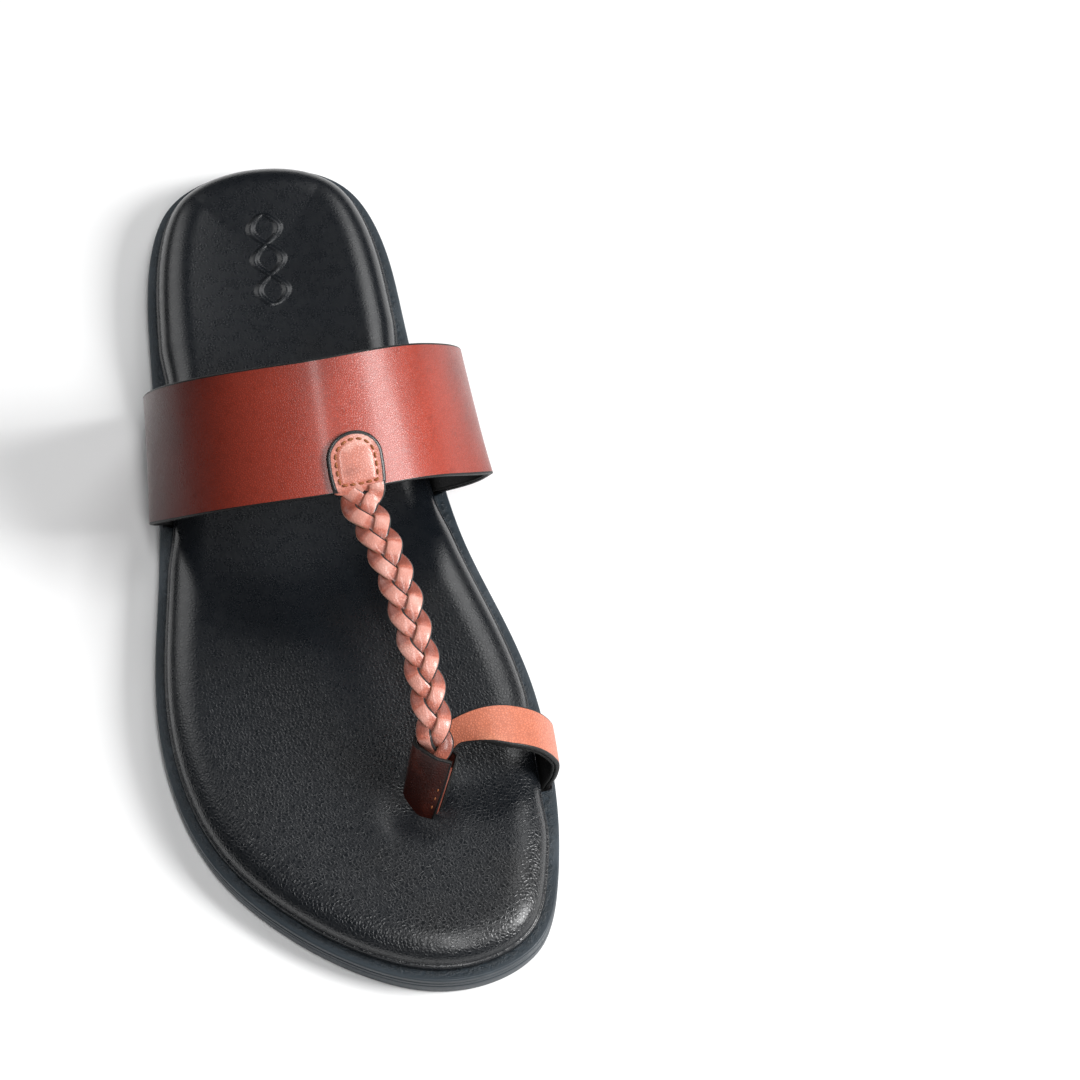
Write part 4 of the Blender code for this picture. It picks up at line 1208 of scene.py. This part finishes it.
@dataclass
class Footbed:
    """The padded footbed: leather cover over cushion foam, on a board."""

    shape: SoleShape
    base: float
    count: int = 900
    height: float = 8.5 * MM
    crown_width: float = 11.0 * MM
    crown_height: float = 5.2 * MM
    board_height: float = 2.3 * MM
    board_corner: float = 0.9 * MM
    lip: float = 0.38 * MM
    waist: float = 0.75 * MM
    leather: float = 1.1 * MM
    margin: float = 9.0 * MM
    cup: float = 2.4 * MM
    arch: float = 1.6 * MM
    band_y: float = 38.0 * MM
    dish: float = 0.7 * MM
    dimple: Triple = (18.6 * MM, -91.6 * MM, 1.5 * MM)
    dimple_spread: float = 6.5 * MM
    foam_row: int = 13

    def drawn_in(self, ring: Array, seats: Seats) -> Array:
        """How far the edge gives way to the straps: a smooth ramp beside each seat."""
        return beside(ring, seats, 2 * MM, self.shape.recess_run) * self.shape.recess

    def profile(self, step: float) -> list[Pair]:
        """Inset and height of the skin: flange, wrapped board edge, waist and crown.

        The board's edge is a low upright wall with round corners. Above it the skin steps in to a
        waist, and the crown is a quarter of an ellipse from the waist up to the flat top.
        """
        side, foot = self.shape.ledge + step, self.base + step
        wall, lip = self.board_height, self.lip
        rows = [(self.shape.ledge + self.margin, foot), (side + 4 * MM, foot), (side + 1.6 * MM, foot)]
        rows += [(side + inset, foot + rise)
                 for inset, rise in round_in(self.board_corner, (90, 60, 30, 0))]
        rows += [(side, foot + wall * 0.7), (side + 0.02 * MM, foot + wall * 0.86)]
        rows += [(side + 0.02 * MM + lip * (1 - math.cos(a)), foot + wall * 0.86 + lip * math.sin(a))
                 for a in np.radians([30, 60, 85])]
        rows += [(side + self.waist * 0.8, foot + wall + 0.10 * MM),
                 (side + self.waist, foot + wall + 0.34 * MM)]
        low = foot + wall + 0.6 * MM
        top = self.base + self.height - step
        wide = self.crown_width - self.waist
        rows += [(side + self.waist + wide * (1 - math.cos(a)), low + (top - low) * math.sin(a))
                 for a in np.radians(np.linspace(3, 90, 17))]
        return rows

    def contour(self, x: Array, y: Array) -> Array:
        """Height that the foot's shape adds: heel cup, arch, the ball's dish and the post's dimple.

        The cup grows with the square of the place across and towards the back. The arch and the
        dish are bells along y, and the dimple is a round bell at the toe post.
        """
        left, right = self.shape.edge_x(-1, y), self.shape.edge_x(1, y)
        middle, half = (left + right) / 2, np.maximum((right - left) / 2, 1 * MM)
        side = np.clip((x - middle) / half, -1, 1)
        length = self.shape.length
        heel = np.clip((y - 0.12 * length) / (0.2 * length), 0, 1)
        back = np.clip((y - 0.36 * length) / (0.14 * length), 0, 1)
        cup = self.cup * heel * np.maximum(side**2, back**2)
        arch = self.arch * bump_at(y, self.band_y, 0.16 * length) * np.maximum(0, side) ** 2
        dish = self.dish * bump_at(y, -0.16 * length, 0.14 * length) * (1 - np.abs(side)) ** 1.5
        px, py, depth = self.dimple
        gap = np.hypot(x - px, y - py)
        hollow = depth * bump_at(gap, 0.0, self.dimple_spread)
        rim = 0.3 * depth * bump_at(gap, 12 * MM, 5 * MM)
        return cup + arch - dish - (hollow - rim)

    def shell(self, step: float, count: int, columns: int, seats: Seats, first: int,
              closed: bool) -> Shell:
        """The skin at a depth inside the outer face, from one of its profile rows on."""
        ring = self.shape.ring(count)
        drawn = self.drawn_in(ring, seats)
        profile = self.profile(step)[first:]

        def inset(amount: float, _row: int) -> Array:
            """The profile's inset, drawn in beside the straps and even again further in."""
            fade = max(0.0, 1 - max(0.0, amount - self.shape.ledge) / self.crown_width)
            return amount + drawn * fade

        shell = pillow(ring, profile, columns, inset, closed)
        x, y, z = shell.points.T
        low = self.base + self.height - self.crown_height
        share = np.clip((z - low) / (self.crown_height - step), 0, 1)
        shell.points[:, 2] = z + share * self.contour(x, y)
        return shell

    def build(self, bench: Bench, seats: Seats) -> None:
        """Builds the cover, given its leather's thickness inwards, and the foam under it."""
        skin = self.shell(0.0, self.count, 46, seats, 0, False)
        cover = bench.piece("footbed_leather_cover", skin, FOOTBED,
                            ["footbed_cover"], crisp=60.0)
        wall = cover.modifiers.new("leather", "SOLIDIFY")
        wall.thickness = self.leather
        wall.offset = -1.0
        inner = self.leather + CLEARANCE
        cushion = self.shell(inner, 300, 24, seats, self.foam_row, True)
        foam = bench.piece("footbed_cushion_foam", cushion, FOAM,
                           ["footbed_foam"], crisp=60.0)


@dataclass
class LinedStrap:
    """A strap of leather over a black lining, on either side of one sheet."""

    node: str
    leather: float
    lining: float
    corner: float = 0.45 * MM
    gap: float = 0.06 * MM

    def build(self, bench: Bench, sheet: Array, finish: Finish, slot: str) -> None:
        """Builds the leather in its finish, and the lining under it."""
        bench.piece(f"{self.node}_leather",
                    strap_shell(sheet, self.leather, self.corner, (self.gap + self.leather) / 2),
                    finish, [self.node])
        bench.piece(f"{self.node}_lining_leather",
                    strap_shell(sheet, self.lining, self.lining * 0.4, -(self.gap + self.lining) / 2),
                    LINING, [f"{self.node}_lining"])


@dataclass
class InstepBand:
    """The broad arched band: chestnut leather over a black lining."""

    shape: BandShape

    def build(self, bench: Bench) -> None:
        """Builds both layers on the band's sheet."""
        band = self.shape
        strap = LinedStrap("instep_band", band.leather, band.lining)
        sheet = band.sheet(strap_shares(band.width / 2, strap.corner, 31))
        strap.build(bench, sheet, CHESTNUT, "chestnut_leather")


@dataclass
class BraidTab:
    """The rounded tab on the band, with its stitch rows."""

    band: BandShape
    width: float = 15.0 * MM
    reach: float = 16.6 * MM
    leather: float = 1.5 * MM
    middle_x: float = 14.0 * MM
    inset: float = 2.3 * MM
    thread: float = 0.36 * MM
    pitch: float = 2.25 * MM
    stitch: float = 1.85 * MM
    corner: float = 0.5 * MM
    base_seam: float = 1.9 * MM
    dent: float = 0.30 * MM
    dent_width: float = 0.55 * MM
    puff: float = 0.25 * MM
    thinning: float = 0.6

    @property
    def face(self) -> float:
        """Height of the tab's underside above the band's sheet."""
        return self.band.leather + 0.15 * MM

    def outline(self, count: int) -> Array:
        """Plan of the tab, counter-clockwise: a half circle at the back and sides that draw in."""
        radius = self.width / 2
        turn = np.radians(np.linspace(90, 180, 30))
        middle = self.reach - radius
        left = [(radius * math.cos(a), middle + radius * math.sin(a)) for a in turn]
        left += [(-radius * 0.99, middle * 0.55), (-radius * 0.90, 0.2 * MM),
                 (-radius * 0.76, -0.5 * MM), (-radius * 0.5, -0.7 * MM), (0.0, -0.7 * MM)]
        half = smooth_path(left, count // 2 + 1)
        other = half[::-1] * (-1, 1)
        return np.vstack([half[:-1], other[:-1]])

    def seam(self) -> Array:
        """The stitch row, closed: round the back inside the edge, and across the base."""
        radius = self.width / 2 - self.inset
        middle = self.reach - self.width / 2
        turn = np.radians(np.linspace(180, 0, 24))
        arc = np.column_stack([radius * np.cos(turn), middle + radius * np.sin(turn)])
        base = self.base_seam
        points = [(-radius * 0.93, base), (-radius, middle * 0.5), *arc, (radius, middle * 0.5),
                  (radius * 0.93, base), (0.0, base - 0.3 * MM), (-radius * 0.93, base)]
        return even_points(np.array(points), 240)

    def build(self, bench: Bench) -> None:
        """Builds the tab, dented along its seam, and the stitches on both of its sides."""
        corner, thick = self.corner, self.leather
        rounding = round_in(corner, (0, 30, 60, 90))
        profile = [(corner * 1.6, 0.0)] + [(inset, rise) for rise, inset in rounding]
        profile += [(inset, thick - drop) for inset, drop in rounding]
        profile += [(corner + further, thick) for further in (0.2 * MM, 0.9 * MM, 1.8 * MM)]
        shell = pillow(self.outline(240), profile, 40)
        across, along, height = shell.points.T
        seam = self.seam()
        near = np.sqrt(((shell.points[:, None, :2] - seam[None, ::2]) ** 2).sum(-1).min(1))
        on_top = height > thick * 0.9
        dent = self.dent * bump_at(near, 0.0, self.dent_width) * on_top
        puff = self.puff * bump_at(across, 0.0, 4.5 * MM) * bump_at(along, 9 * MM, 5 * MM) * on_top
        thin = 1 - self.thinning * smooth_share((1.3 * MM - along) / (1.8 * MM))
        lift = self.face + height * thin - dent + puff
        shell.points = self.band.lifted(self.middle_x, across, along, lift)
        row = shell.values.pop("row")
        last = len(profile) - 1
        front = smooth_share((along + 0.4 * MM) / (1.0 * MM))
        shell.values["edge"] = np.where((row > 0) & (row <= last - 2), 1.0, 0.0) * front
        # The tab counts as lying on top, so its colour takes a little of the painted crest highlight.
        shell.values["crest"] = np.full(len(row), 0.85)
        bench.piece("braid_tab_leather", shell, BRAID, ["braid_tab"], crisp=60.0)
        above = self.face + thick + 0.02 * MM
        below = -(self.band.lining + 0.10 * MM)
        for name, node, lift, way in (("tab_needle_stitches", "tab_needle_thread", above, 1.0),
                                      ("tab_bobbin_stitches", "tab_bobbin_thread", below, -1.0)):
            x, y = seam.T
            path = self.band.lifted(self.middle_x, x, y, lift)
            up = (self.band.lifted(self.middle_x, x, y, lift + MM) - path) * way
            sewn = stitches(path, up, self.pitch, self.stitch, self.thread)
            bench.piece(name, sewn, THREAD, [node], crisp=70.0)


@dataclass
class PostShape:
    """The toe post's axis: its foot, its top and how it turns on the way."""

    foot: Array = field(default_factory=lambda: np.array([16.6, -93.2, 0.0]) * MM)
    top: Array = field(default_factory=lambda: np.array([25.6, -81.6, 33.5]) * MM)
    foot_turn: float = math.radians(-66.0)
    top_turn: float = math.radians(-38.0)
    foot_width: float = 12.0 * MM
    top_width: float = 13.0 * MM
    leather: float = 1.2 * MM
    core: float = 2.4 * MM

    @property
    def height(self) -> float:
        """Length of the post's axis."""
        return float(np.linalg.norm(self.top - self.foot))

    @property
    def up(self) -> Array:
        """Direction of the axis."""
        return unit(self.top - self.foot)

    def axes(self, height: Array) -> tuple[Array, Array]:
        """Directions across the post's width and through its thickness, at heights up it."""
        turn = self.foot_turn + (self.top_turn - self.foot_turn) * smooth_share(height / self.height)
        wide = np.stack([np.cos(turn), np.sin(turn), np.zeros_like(turn)], axis=-1)
        wide = unit(wide - (wide @ self.up)[..., None] * self.up)
        return wide, np.cross(self.up, wide)

    def place(self, across: Array, through: Array, height: Array) -> Array:
        """World points from places in the post's own axes."""
        wide, rear = self.axes(height)
        risen = self.foot + self.up * height[..., None]
        return risen + wide * across[..., None] + rear * through[..., None]

    def half_width(self, height: Array) -> Array:
        """Half the wrap's width at heights up the post."""
        share = height / self.height
        return (self.foot_width + (self.top_width - self.foot_width) * share) / 2


@dataclass
class ToePost:
    """The folded leather wrap of the toe post and its seam stitches."""

    shape: PostShape
    low: float = 11.0 * MM
    corner: float = 0.40 * MM
    open_from: float = 0.62
    opening: float = 0.75 * MM
    bow: float = 0.35 * MM
    pinch: float = 0.42
    slant: float = 0.8 * MM
    seam: Pair = (0.48, 0.90)
    seam_inset: float = 1.3 * MM
    pitch: float = 2.6 * MM
    stitch: float = 1.5 * MM
    thread: float = 0.26 * MM

    def build(self, bench: Bench) -> None:
        """Builds the wrap as a strap bent into a U, open at the top, and four seam stitches.

        Round the U, the front layer runs from the seam to the fold, a half circle turns it, and the
        back layer returns. The layers part towards the top to let the braid in.
        """
        post = self.shape
        thick = post.leather
        high = post.height
        corner = self.corner
        rim = np.array([self.low, self.low + 0.25 * MM])
        heights = np.concatenate([rim, np.linspace(self.low + 1.2 * MM, high - corner - 1.0 * MM, 20),
                                  [high - corner - 0.25 * MM, high - corner]])
        turn = np.linspace(0, math.pi, 17)
        flat = np.linspace(1, 0, 14)[:-1]
        across_share = np.concatenate([flat, np.zeros(len(turn)), flat[::-1]])
        angle = np.concatenate([np.zeros(len(flat)), turn, np.full(len(flat), math.pi)])
        h = np.broadcast_to(heights[None, :], (len(angle), len(heights)))
        open_up = smooth_share((h - self.open_from * high) / ((1 - self.open_from) * high))
        middle = post.core / 2 + CLEARANCE + thick / 2 + self.opening * open_up
        half = post.half_width(h)
        fold = -half + middle + thick / 2
        u = across_share[:, None]
        bow = self.bow * np.sin(math.pi * u)
        across = fold + (half - fold) * u - middle * np.sin(angle)[:, None]
        pinch = 1 - self.pinch * smooth_share((u - 0.55) / 0.45)
        through = -(middle + bow) * np.cos(angle)[:, None] * pinch
        in_front = angle[:, None] < 1.0
        slant = self.slant * u * in_front * smooth_share((h - 0.9 * high) / (0.1 * high))
        sheet = post.place(across, through, h - slant)
        shell = strap_shell(sheet, thick, corner)
        ends = (shell.values["run"] < 0.012) | (shell.values["run"] > 0.988)
        shell.values["edge"] = np.maximum(shell.values["edge"], ends)
        bench.piece("toe_post_leather_wrap", shell, DARK, ["toe_post_wrap"])
        heights = np.linspace(high * self.seam[0], high * self.seam[1], 40)
        side = post.half_width(heights) - self.seam_inset
        out = np.full_like(heights, -(post.core / 2 + thick + CLEARANCE) * 0.78)
        path = post.place(side, out, heights)
        up = path - post.place(side, out + 1 * MM, heights)
        sewn = stitches(path, up, self.pitch, self.stitch, self.thread)
        bench.piece("post_seam_stitches", sewn, THREAD, ["post_seam_thread"], crisp=70.0)


@dataclass
class Braid:
    """Three flat strands, cut from the tab and braided down to the toe post."""

    tab: BraidTab
    post: PostShape
    turns: float = 3.25
    swing: float = 3.45 * MM
    depth: float = 0.95 * MM
    wide: float = 4.7 * MM
    thick: float = 1.7 * MM
    rise: float = 4.5 * MM
    bow: float = 2.6 * MM
    under_tab: float = 1.3 * MM
    before_tab: float = 3.8 * MM
    into_post: float = 4.0 * MM
    roundness: Pair = (0.75, 0.85)
    spread: float = 0.58
    spread_run: float = 3.5 * MM
    settle_run: Pair = (0.5 * MM, 5.0 * MM)
    lean: float = 0.34
    stations: int = 420
    around: int = 22

    def axis(self) -> Array:
        """The braid's middle line: off the tab, over a shallow arc and down into the post."""
        band, x = self.tab.band, self.tab.middle_x
        zero = np.zeros(1)
        thick = self.tab.face + self.tab.leather / 2
        leave = band.lifted(x, zero, zero + self.under_tab, thick + 0.1 * MM)[0]
        start = band.lifted(x, zero, zero - self.before_tab, 1.5 * MM)[0]
        end = self.post.top + np.array([0.4, 1.4, 3.0]) * MM
        share = np.linspace(0, 1, 7)[:, None]
        arc = 4 * share * (1 - share)
        route = start * (1 - share) + end * share + arc * np.array([self.bow, 0, self.rise])
        inside = self.post.top - self.post.up * self.into_post
        return smooth_path([leave, *route, inside], self.stations)

    def strand(self, number: int) -> Shell:
        """One strand, a flat rounded ribbon carried along its own path.

        With phase p the path swings across by sin(p) and lies over by -sin(2p), so a strand is on
        top while it returns to the middle. Its section is a flattened superellipse.

        Args:
            number: 0, 1 or 2, each a third of a turn on from the last.

        Returns:
            The strand, with "edge" on its painted side, "raw" on the other and "crest" for how
            high it lies over the others, from 0 to 1.
        """
        line = self.axis()
        run = run_of(line)
        share = run / run[-1]
        ahead = unit(np.gradient(line, axis=0))
        side = unit(np.cross(ahead, [0.0, 0.0, 1.0]))
        over = np.cross(side, ahead)
        phase = 2 * math.pi * (self.turns * share + number / 3)
        spread = 1 + self.spread * np.exp(-run / self.spread_run)
        narrow = 1 - 0.10 * share - 0.12 * smooth_share((share - 0.93) / 0.07)
        settle = smooth_share((run - self.settle_run[0]) / self.settle_run[1]) * narrow
        across = self.swing * np.sin(phase) * spread * narrow
        lift = -self.depth * np.sin(2 * phase) * settle
        path = line + side * across[:, None] + over * lift[:, None]
        way = unit(np.gradient(path, axis=0))
        flat = unit(np.cross(way, over))
        face = np.cross(flat, way)
        lean = -self.lean * np.sin(phase) * settle
        flat, face = (
            flat * np.cos(lean)[:, None] + face * np.sin(lean)[:, None],
            face * np.cos(lean)[:, None] - flat * np.sin(lean)[:, None],
        )
        angle = np.linspace(0, 2 * math.pi, self.around, endpoint=False)
        c, s = np.cos(angle), np.sin(angle)
        x = np.sign(c) * np.abs(c) ** self.roundness[0] * self.wide / 2
        z = np.sign(s) * np.abs(s) ** self.roundness[1] * self.thick / 2
        rings = (
            path[:, None]
            + flat[:, None] * (x[None, :] * narrow[:, None])[..., None]
            + face[:, None] * z[None, :, None]
        )
        painted = smooth_share((-c - 0.62) / 0.20)
        raw = smooth_share((c - 0.80) / 0.16)
        shell = tube_shell(rings, {"edge": painted, "raw": raw}, share)
        # How high the strand lies over the others; the finish turns this into painted shade and a
        # painted highlight.
        crest = 1 - settle * (1 - smooth_share((0.30 - np.sin(2 * phase)) / 1.25))
        shell.values["crest"] = np.concatenate([np.repeat(crest, self.around), crest[[0, -1]]])
        return shell

    def build(self, bench: Bench) -> None:
        """Builds the three strands."""
        for number in range(3):
            bench.piece(f"braid_ribbon_{number + 1}", self.strand(number), BRAID,
                        [f"braid_strand_{number + 1}"], crisp=75.0)


@dataclass
class ToeLoop:
    """The strap over the big toe, from the back of the post to the sole."""

    sole: SoleShape
    post: PostShape
    width: float = 13.0 * MM
    y: float = -78.5 * MM
    peak: float = 36.0 * MM
    leather: float = 1.4 * MM
    lining: float = 0.9 * MM
    start_share: float = 0.62
    steps: int = 43
    turn_steps: Pair = (5, 12)
    leg_steps: Pair = (20, 10)

    def ramp(self, share: Array, steps: Pair) -> Array:
        """Smooth share along the loop, from a first step and over a count of them."""
        return smooth_share((share * self.steps - steps[0]) / steps[1])[:, None]

    def sheet(self, shares: Array, count: int = 170) -> Array:
        """The loop's sheet: a route in section whose rulings turn from the post's width to level.

        Args:
            shares: Places across the loop, from -1 to 1.
            count: Stations along it.

        Returns:
            Points, along by across by 3.
        """
        post, sole = self.post, self.sole
        high = np.array([post.height])
        wide, rear = (axis[0] for axis in post.axes(high))
        stack_out = self.leather + CLEARANCE / 2
        away = post.core / 2 + post.leather + 3 * CLEARANCE + stack_out
        edge = float(sole.edge_x(1, self.y))
        lower = post.top + rear * away - post.up * 10.5 * MM
        upper = post.top + rear * away - post.up * 3.0 * MM
        peak = self.peak - stack_out
        shoulder = (upper[0] + 3.0 * MM, self.y + 0.8 * MM, peak - 2.8 * MM)
        route = [
            lower, upper, shoulder,
            ((shoulder[0] + edge) / 2 - 3 * MM, self.y + 0.5 * MM, peak),
            (edge - 6.2 * MM, self.y, peak * 0.87),
            (edge - 0.6 * MM, self.y, peak * 0.62),
            (edge - 0.8 * MM, self.y, peak * 0.42),
        ]
        tuck = sole.tuck(edge, stack_out)[::-1]
        route += [(x, self.y, z + sole.thickness) for x, z in tuck]
        path = smooth_path(route, count)
        share = np.linspace(0, 1, count)
        turn = self.ramp(share, self.turn_steps)
        ruling = unit(-wide * (1 - turn) + np.array([0.0, 1.0, 0.0]) * turn)
        half = self.width / 2 * (self.start_share + (1 - self.start_share) * turn)
        leg = self.ramp(share, self.leg_steps)
        sheet = path[:, None] + (ruling * half)[:, None] * shares[None, :, None]
        sheet[..., 0] += leg * (sole.edge_x(1, sheet[..., 1]) - edge)
        return sheet

    def build(self, bench: Bench) -> None:
        """Builds both layers on the loop's sheet."""
        strap = LinedStrap("toe_loop", self.leather, self.lining)
        sheet = self.sheet(strap_shares(self.width / 2, strap.corner, 15))
        strap.build(bench, sheet, TAN, "tan_leather")


# ---- studio --------------------------------------------------------------------------------------
@dataclass(frozen=True)
class Softbox:
    """A soft rectangular light that faces the object from a direction."""

    name: str
    direction: Triple
    distance: float
    size: Pair
    power: float

    def build(self, aim: Triple) -> None:
        """Adds the light at its distance from the point that it faces."""
        lamp = bpy.data.lights.new(self.name, "AREA")
        lamp.shape = "RECTANGLE"
        lamp.size, lamp.size_y = self.size
        lamp.energy = self.power
        made = bpy.data.objects.new(self.name, lamp)
        way = Vector(self.direction).normalized()
        made.location = Vector(aim) + way * self.distance
        made.rotation_euler = way.to_track_quat("Z", "Y").to_euler()
        bpy.context.scene.collection.objects.link(made)


@dataclass
class Studio:
    """Pale floor, soft lights and the camera."""

    eye: Triple = (-0.0344, -0.6806, 1.1025)
    tilt: float = 32.0
    swing: float = -8.46
    lens: float = 149.3
    aim: Triple = (0.0, -0.02, 0.02)
    reach: float = 4.0
    sky: Colour = (0.92, 0.96, 1.0)
    sky_strength: float = 0.04
    floor_tones: tuple[Colour, Colour] = ((0.90, 0.90, 0.90), (0.93, 0.93, 0.93))
    lights: tuple[Softbox, ...] = (
        Softbox("side_softbox", (0.78, -0.26, 0.58), 1.2, (0.42, 0.44), 17.5),
        Softbox("rear_softbox", (0.45, 0.55, 0.70), 1.4, (0.70, 0.70), 5.0),
        Softbox("top_strip", (0.06, -0.41, 0.91), 1.3, (0.12, 0.9), 7.5),
        Softbox("front_fill", (-0.35, -0.80, 0.48), 2.2, (1.8, 1.0), 1.0),
        Softbox("back_sheen", (-0.50, 0.62, 0.60), 1.6, (0.9, 0.9), 4.5),
    )

    def floor(self) -> None:
        """Lays the pale floor, with a very slight mottle."""
        mesh = bpy.data.meshes.new("studio_floor")
        reach = self.reach
        mesh.from_pydata([(-reach, -reach, 0), (reach, -reach, 0), (reach, reach, 0),
                          (-reach, reach, 0)], [], [(0, 1, 2, 3)])
        made = bpy.data.materials.new("pale_floor")
        made.use_nodes = True
        graph = Graph(made.node_tree)
        shader = made.node_tree.nodes["Principled BSDF"]
        shader.inputs["Roughness"].default_value = 0.65
        shader.inputs["Specular IOR Level"].default_value = 0.2
        mottle = graph.noise(graph.place_on_object(), 3.0)
        graph.put(shader.inputs["Base Color"], graph.mix(mottle, *self.floor_tones))
        mesh.materials.append(made)
        floor = bpy.data.objects.new("studio_floor", mesh)
        bpy.context.scene.collection.objects.link(floor)

    def build(self) -> None:
        """Sets the stage."""
        self.floor()
        scene = bpy.context.scene
        world = bpy.data.worlds.new("studio")
        world.use_nodes = True
        back = world.node_tree.nodes["Background"]
        back.inputs["Color"].default_value = (*self.sky, 1.0)
        back.inputs["Strength"].default_value = self.sky_strength
        scene.world = world
        for softbox in self.lights:
            softbox.build(self.aim)
        camera = bpy.data.cameras.new("camera")
        camera.sensor_width = 36.0
        camera.lens = self.lens
        camera.clip_start = 0.01
        made = bpy.data.objects.new("camera", camera)
        made.location = self.eye
        made.rotation_euler = Euler([math.radians(a) for a in (self.tilt, 0.0, self.swing)])
        scene.collection.objects.link(made)
        scene.camera = made
        scene.view_settings.view_transform = "Standard"


# ---- the whole object ----------------------------------------------------------------------------
def strap_seats(band: BandShape, loop: ToeLoop) -> Seats:
    """Side and y range of each strap end."""
    reach = band.foot_width / 2
    across = (band.y - reach, band.y + reach)
    return [(-1, *across), (1, *across), (1, loop.y - loop.width / 2, loop.y + loop.width / 2)]


def main() -> None:
    """Builds the flip flop around its frame and sets the studio."""
    logging.basicConfig(level=logging.INFO, format="%(name)s: %(message)s")
    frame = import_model()
    low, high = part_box("outsole")
    sole = SoleShape(length=high.y - low.y, thickness=high.z)
    band = BandShape(sole)
    post = PostShape()
    tab = BraidTab(band)
    loop = ToeLoop(sole, post)
    seats = strap_seats(band, loop)
    bench = Bench()
    Outsole(sole).build(bench, seats)
    Footbed(sole, base=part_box("footbed_cover")[0].z).build(bench, seats)
    InstepBand(band).build(bench)
    tab.build(bench)
    Braid(tab, post).build(bench)
    loop.build(bench)
    ToePost(post).build(bench)
    nodes = frame["nodes"]
    for name, finish in (("insole_board", BOARD), ("toe_post_anchor", BOARD),
                         ("sole_filler", FILLER), ("toe_post_core", BRAID)):
        bench.dress(nodes[name], finish)
    Studio().build()


if __name__ == "__main__":
    main()
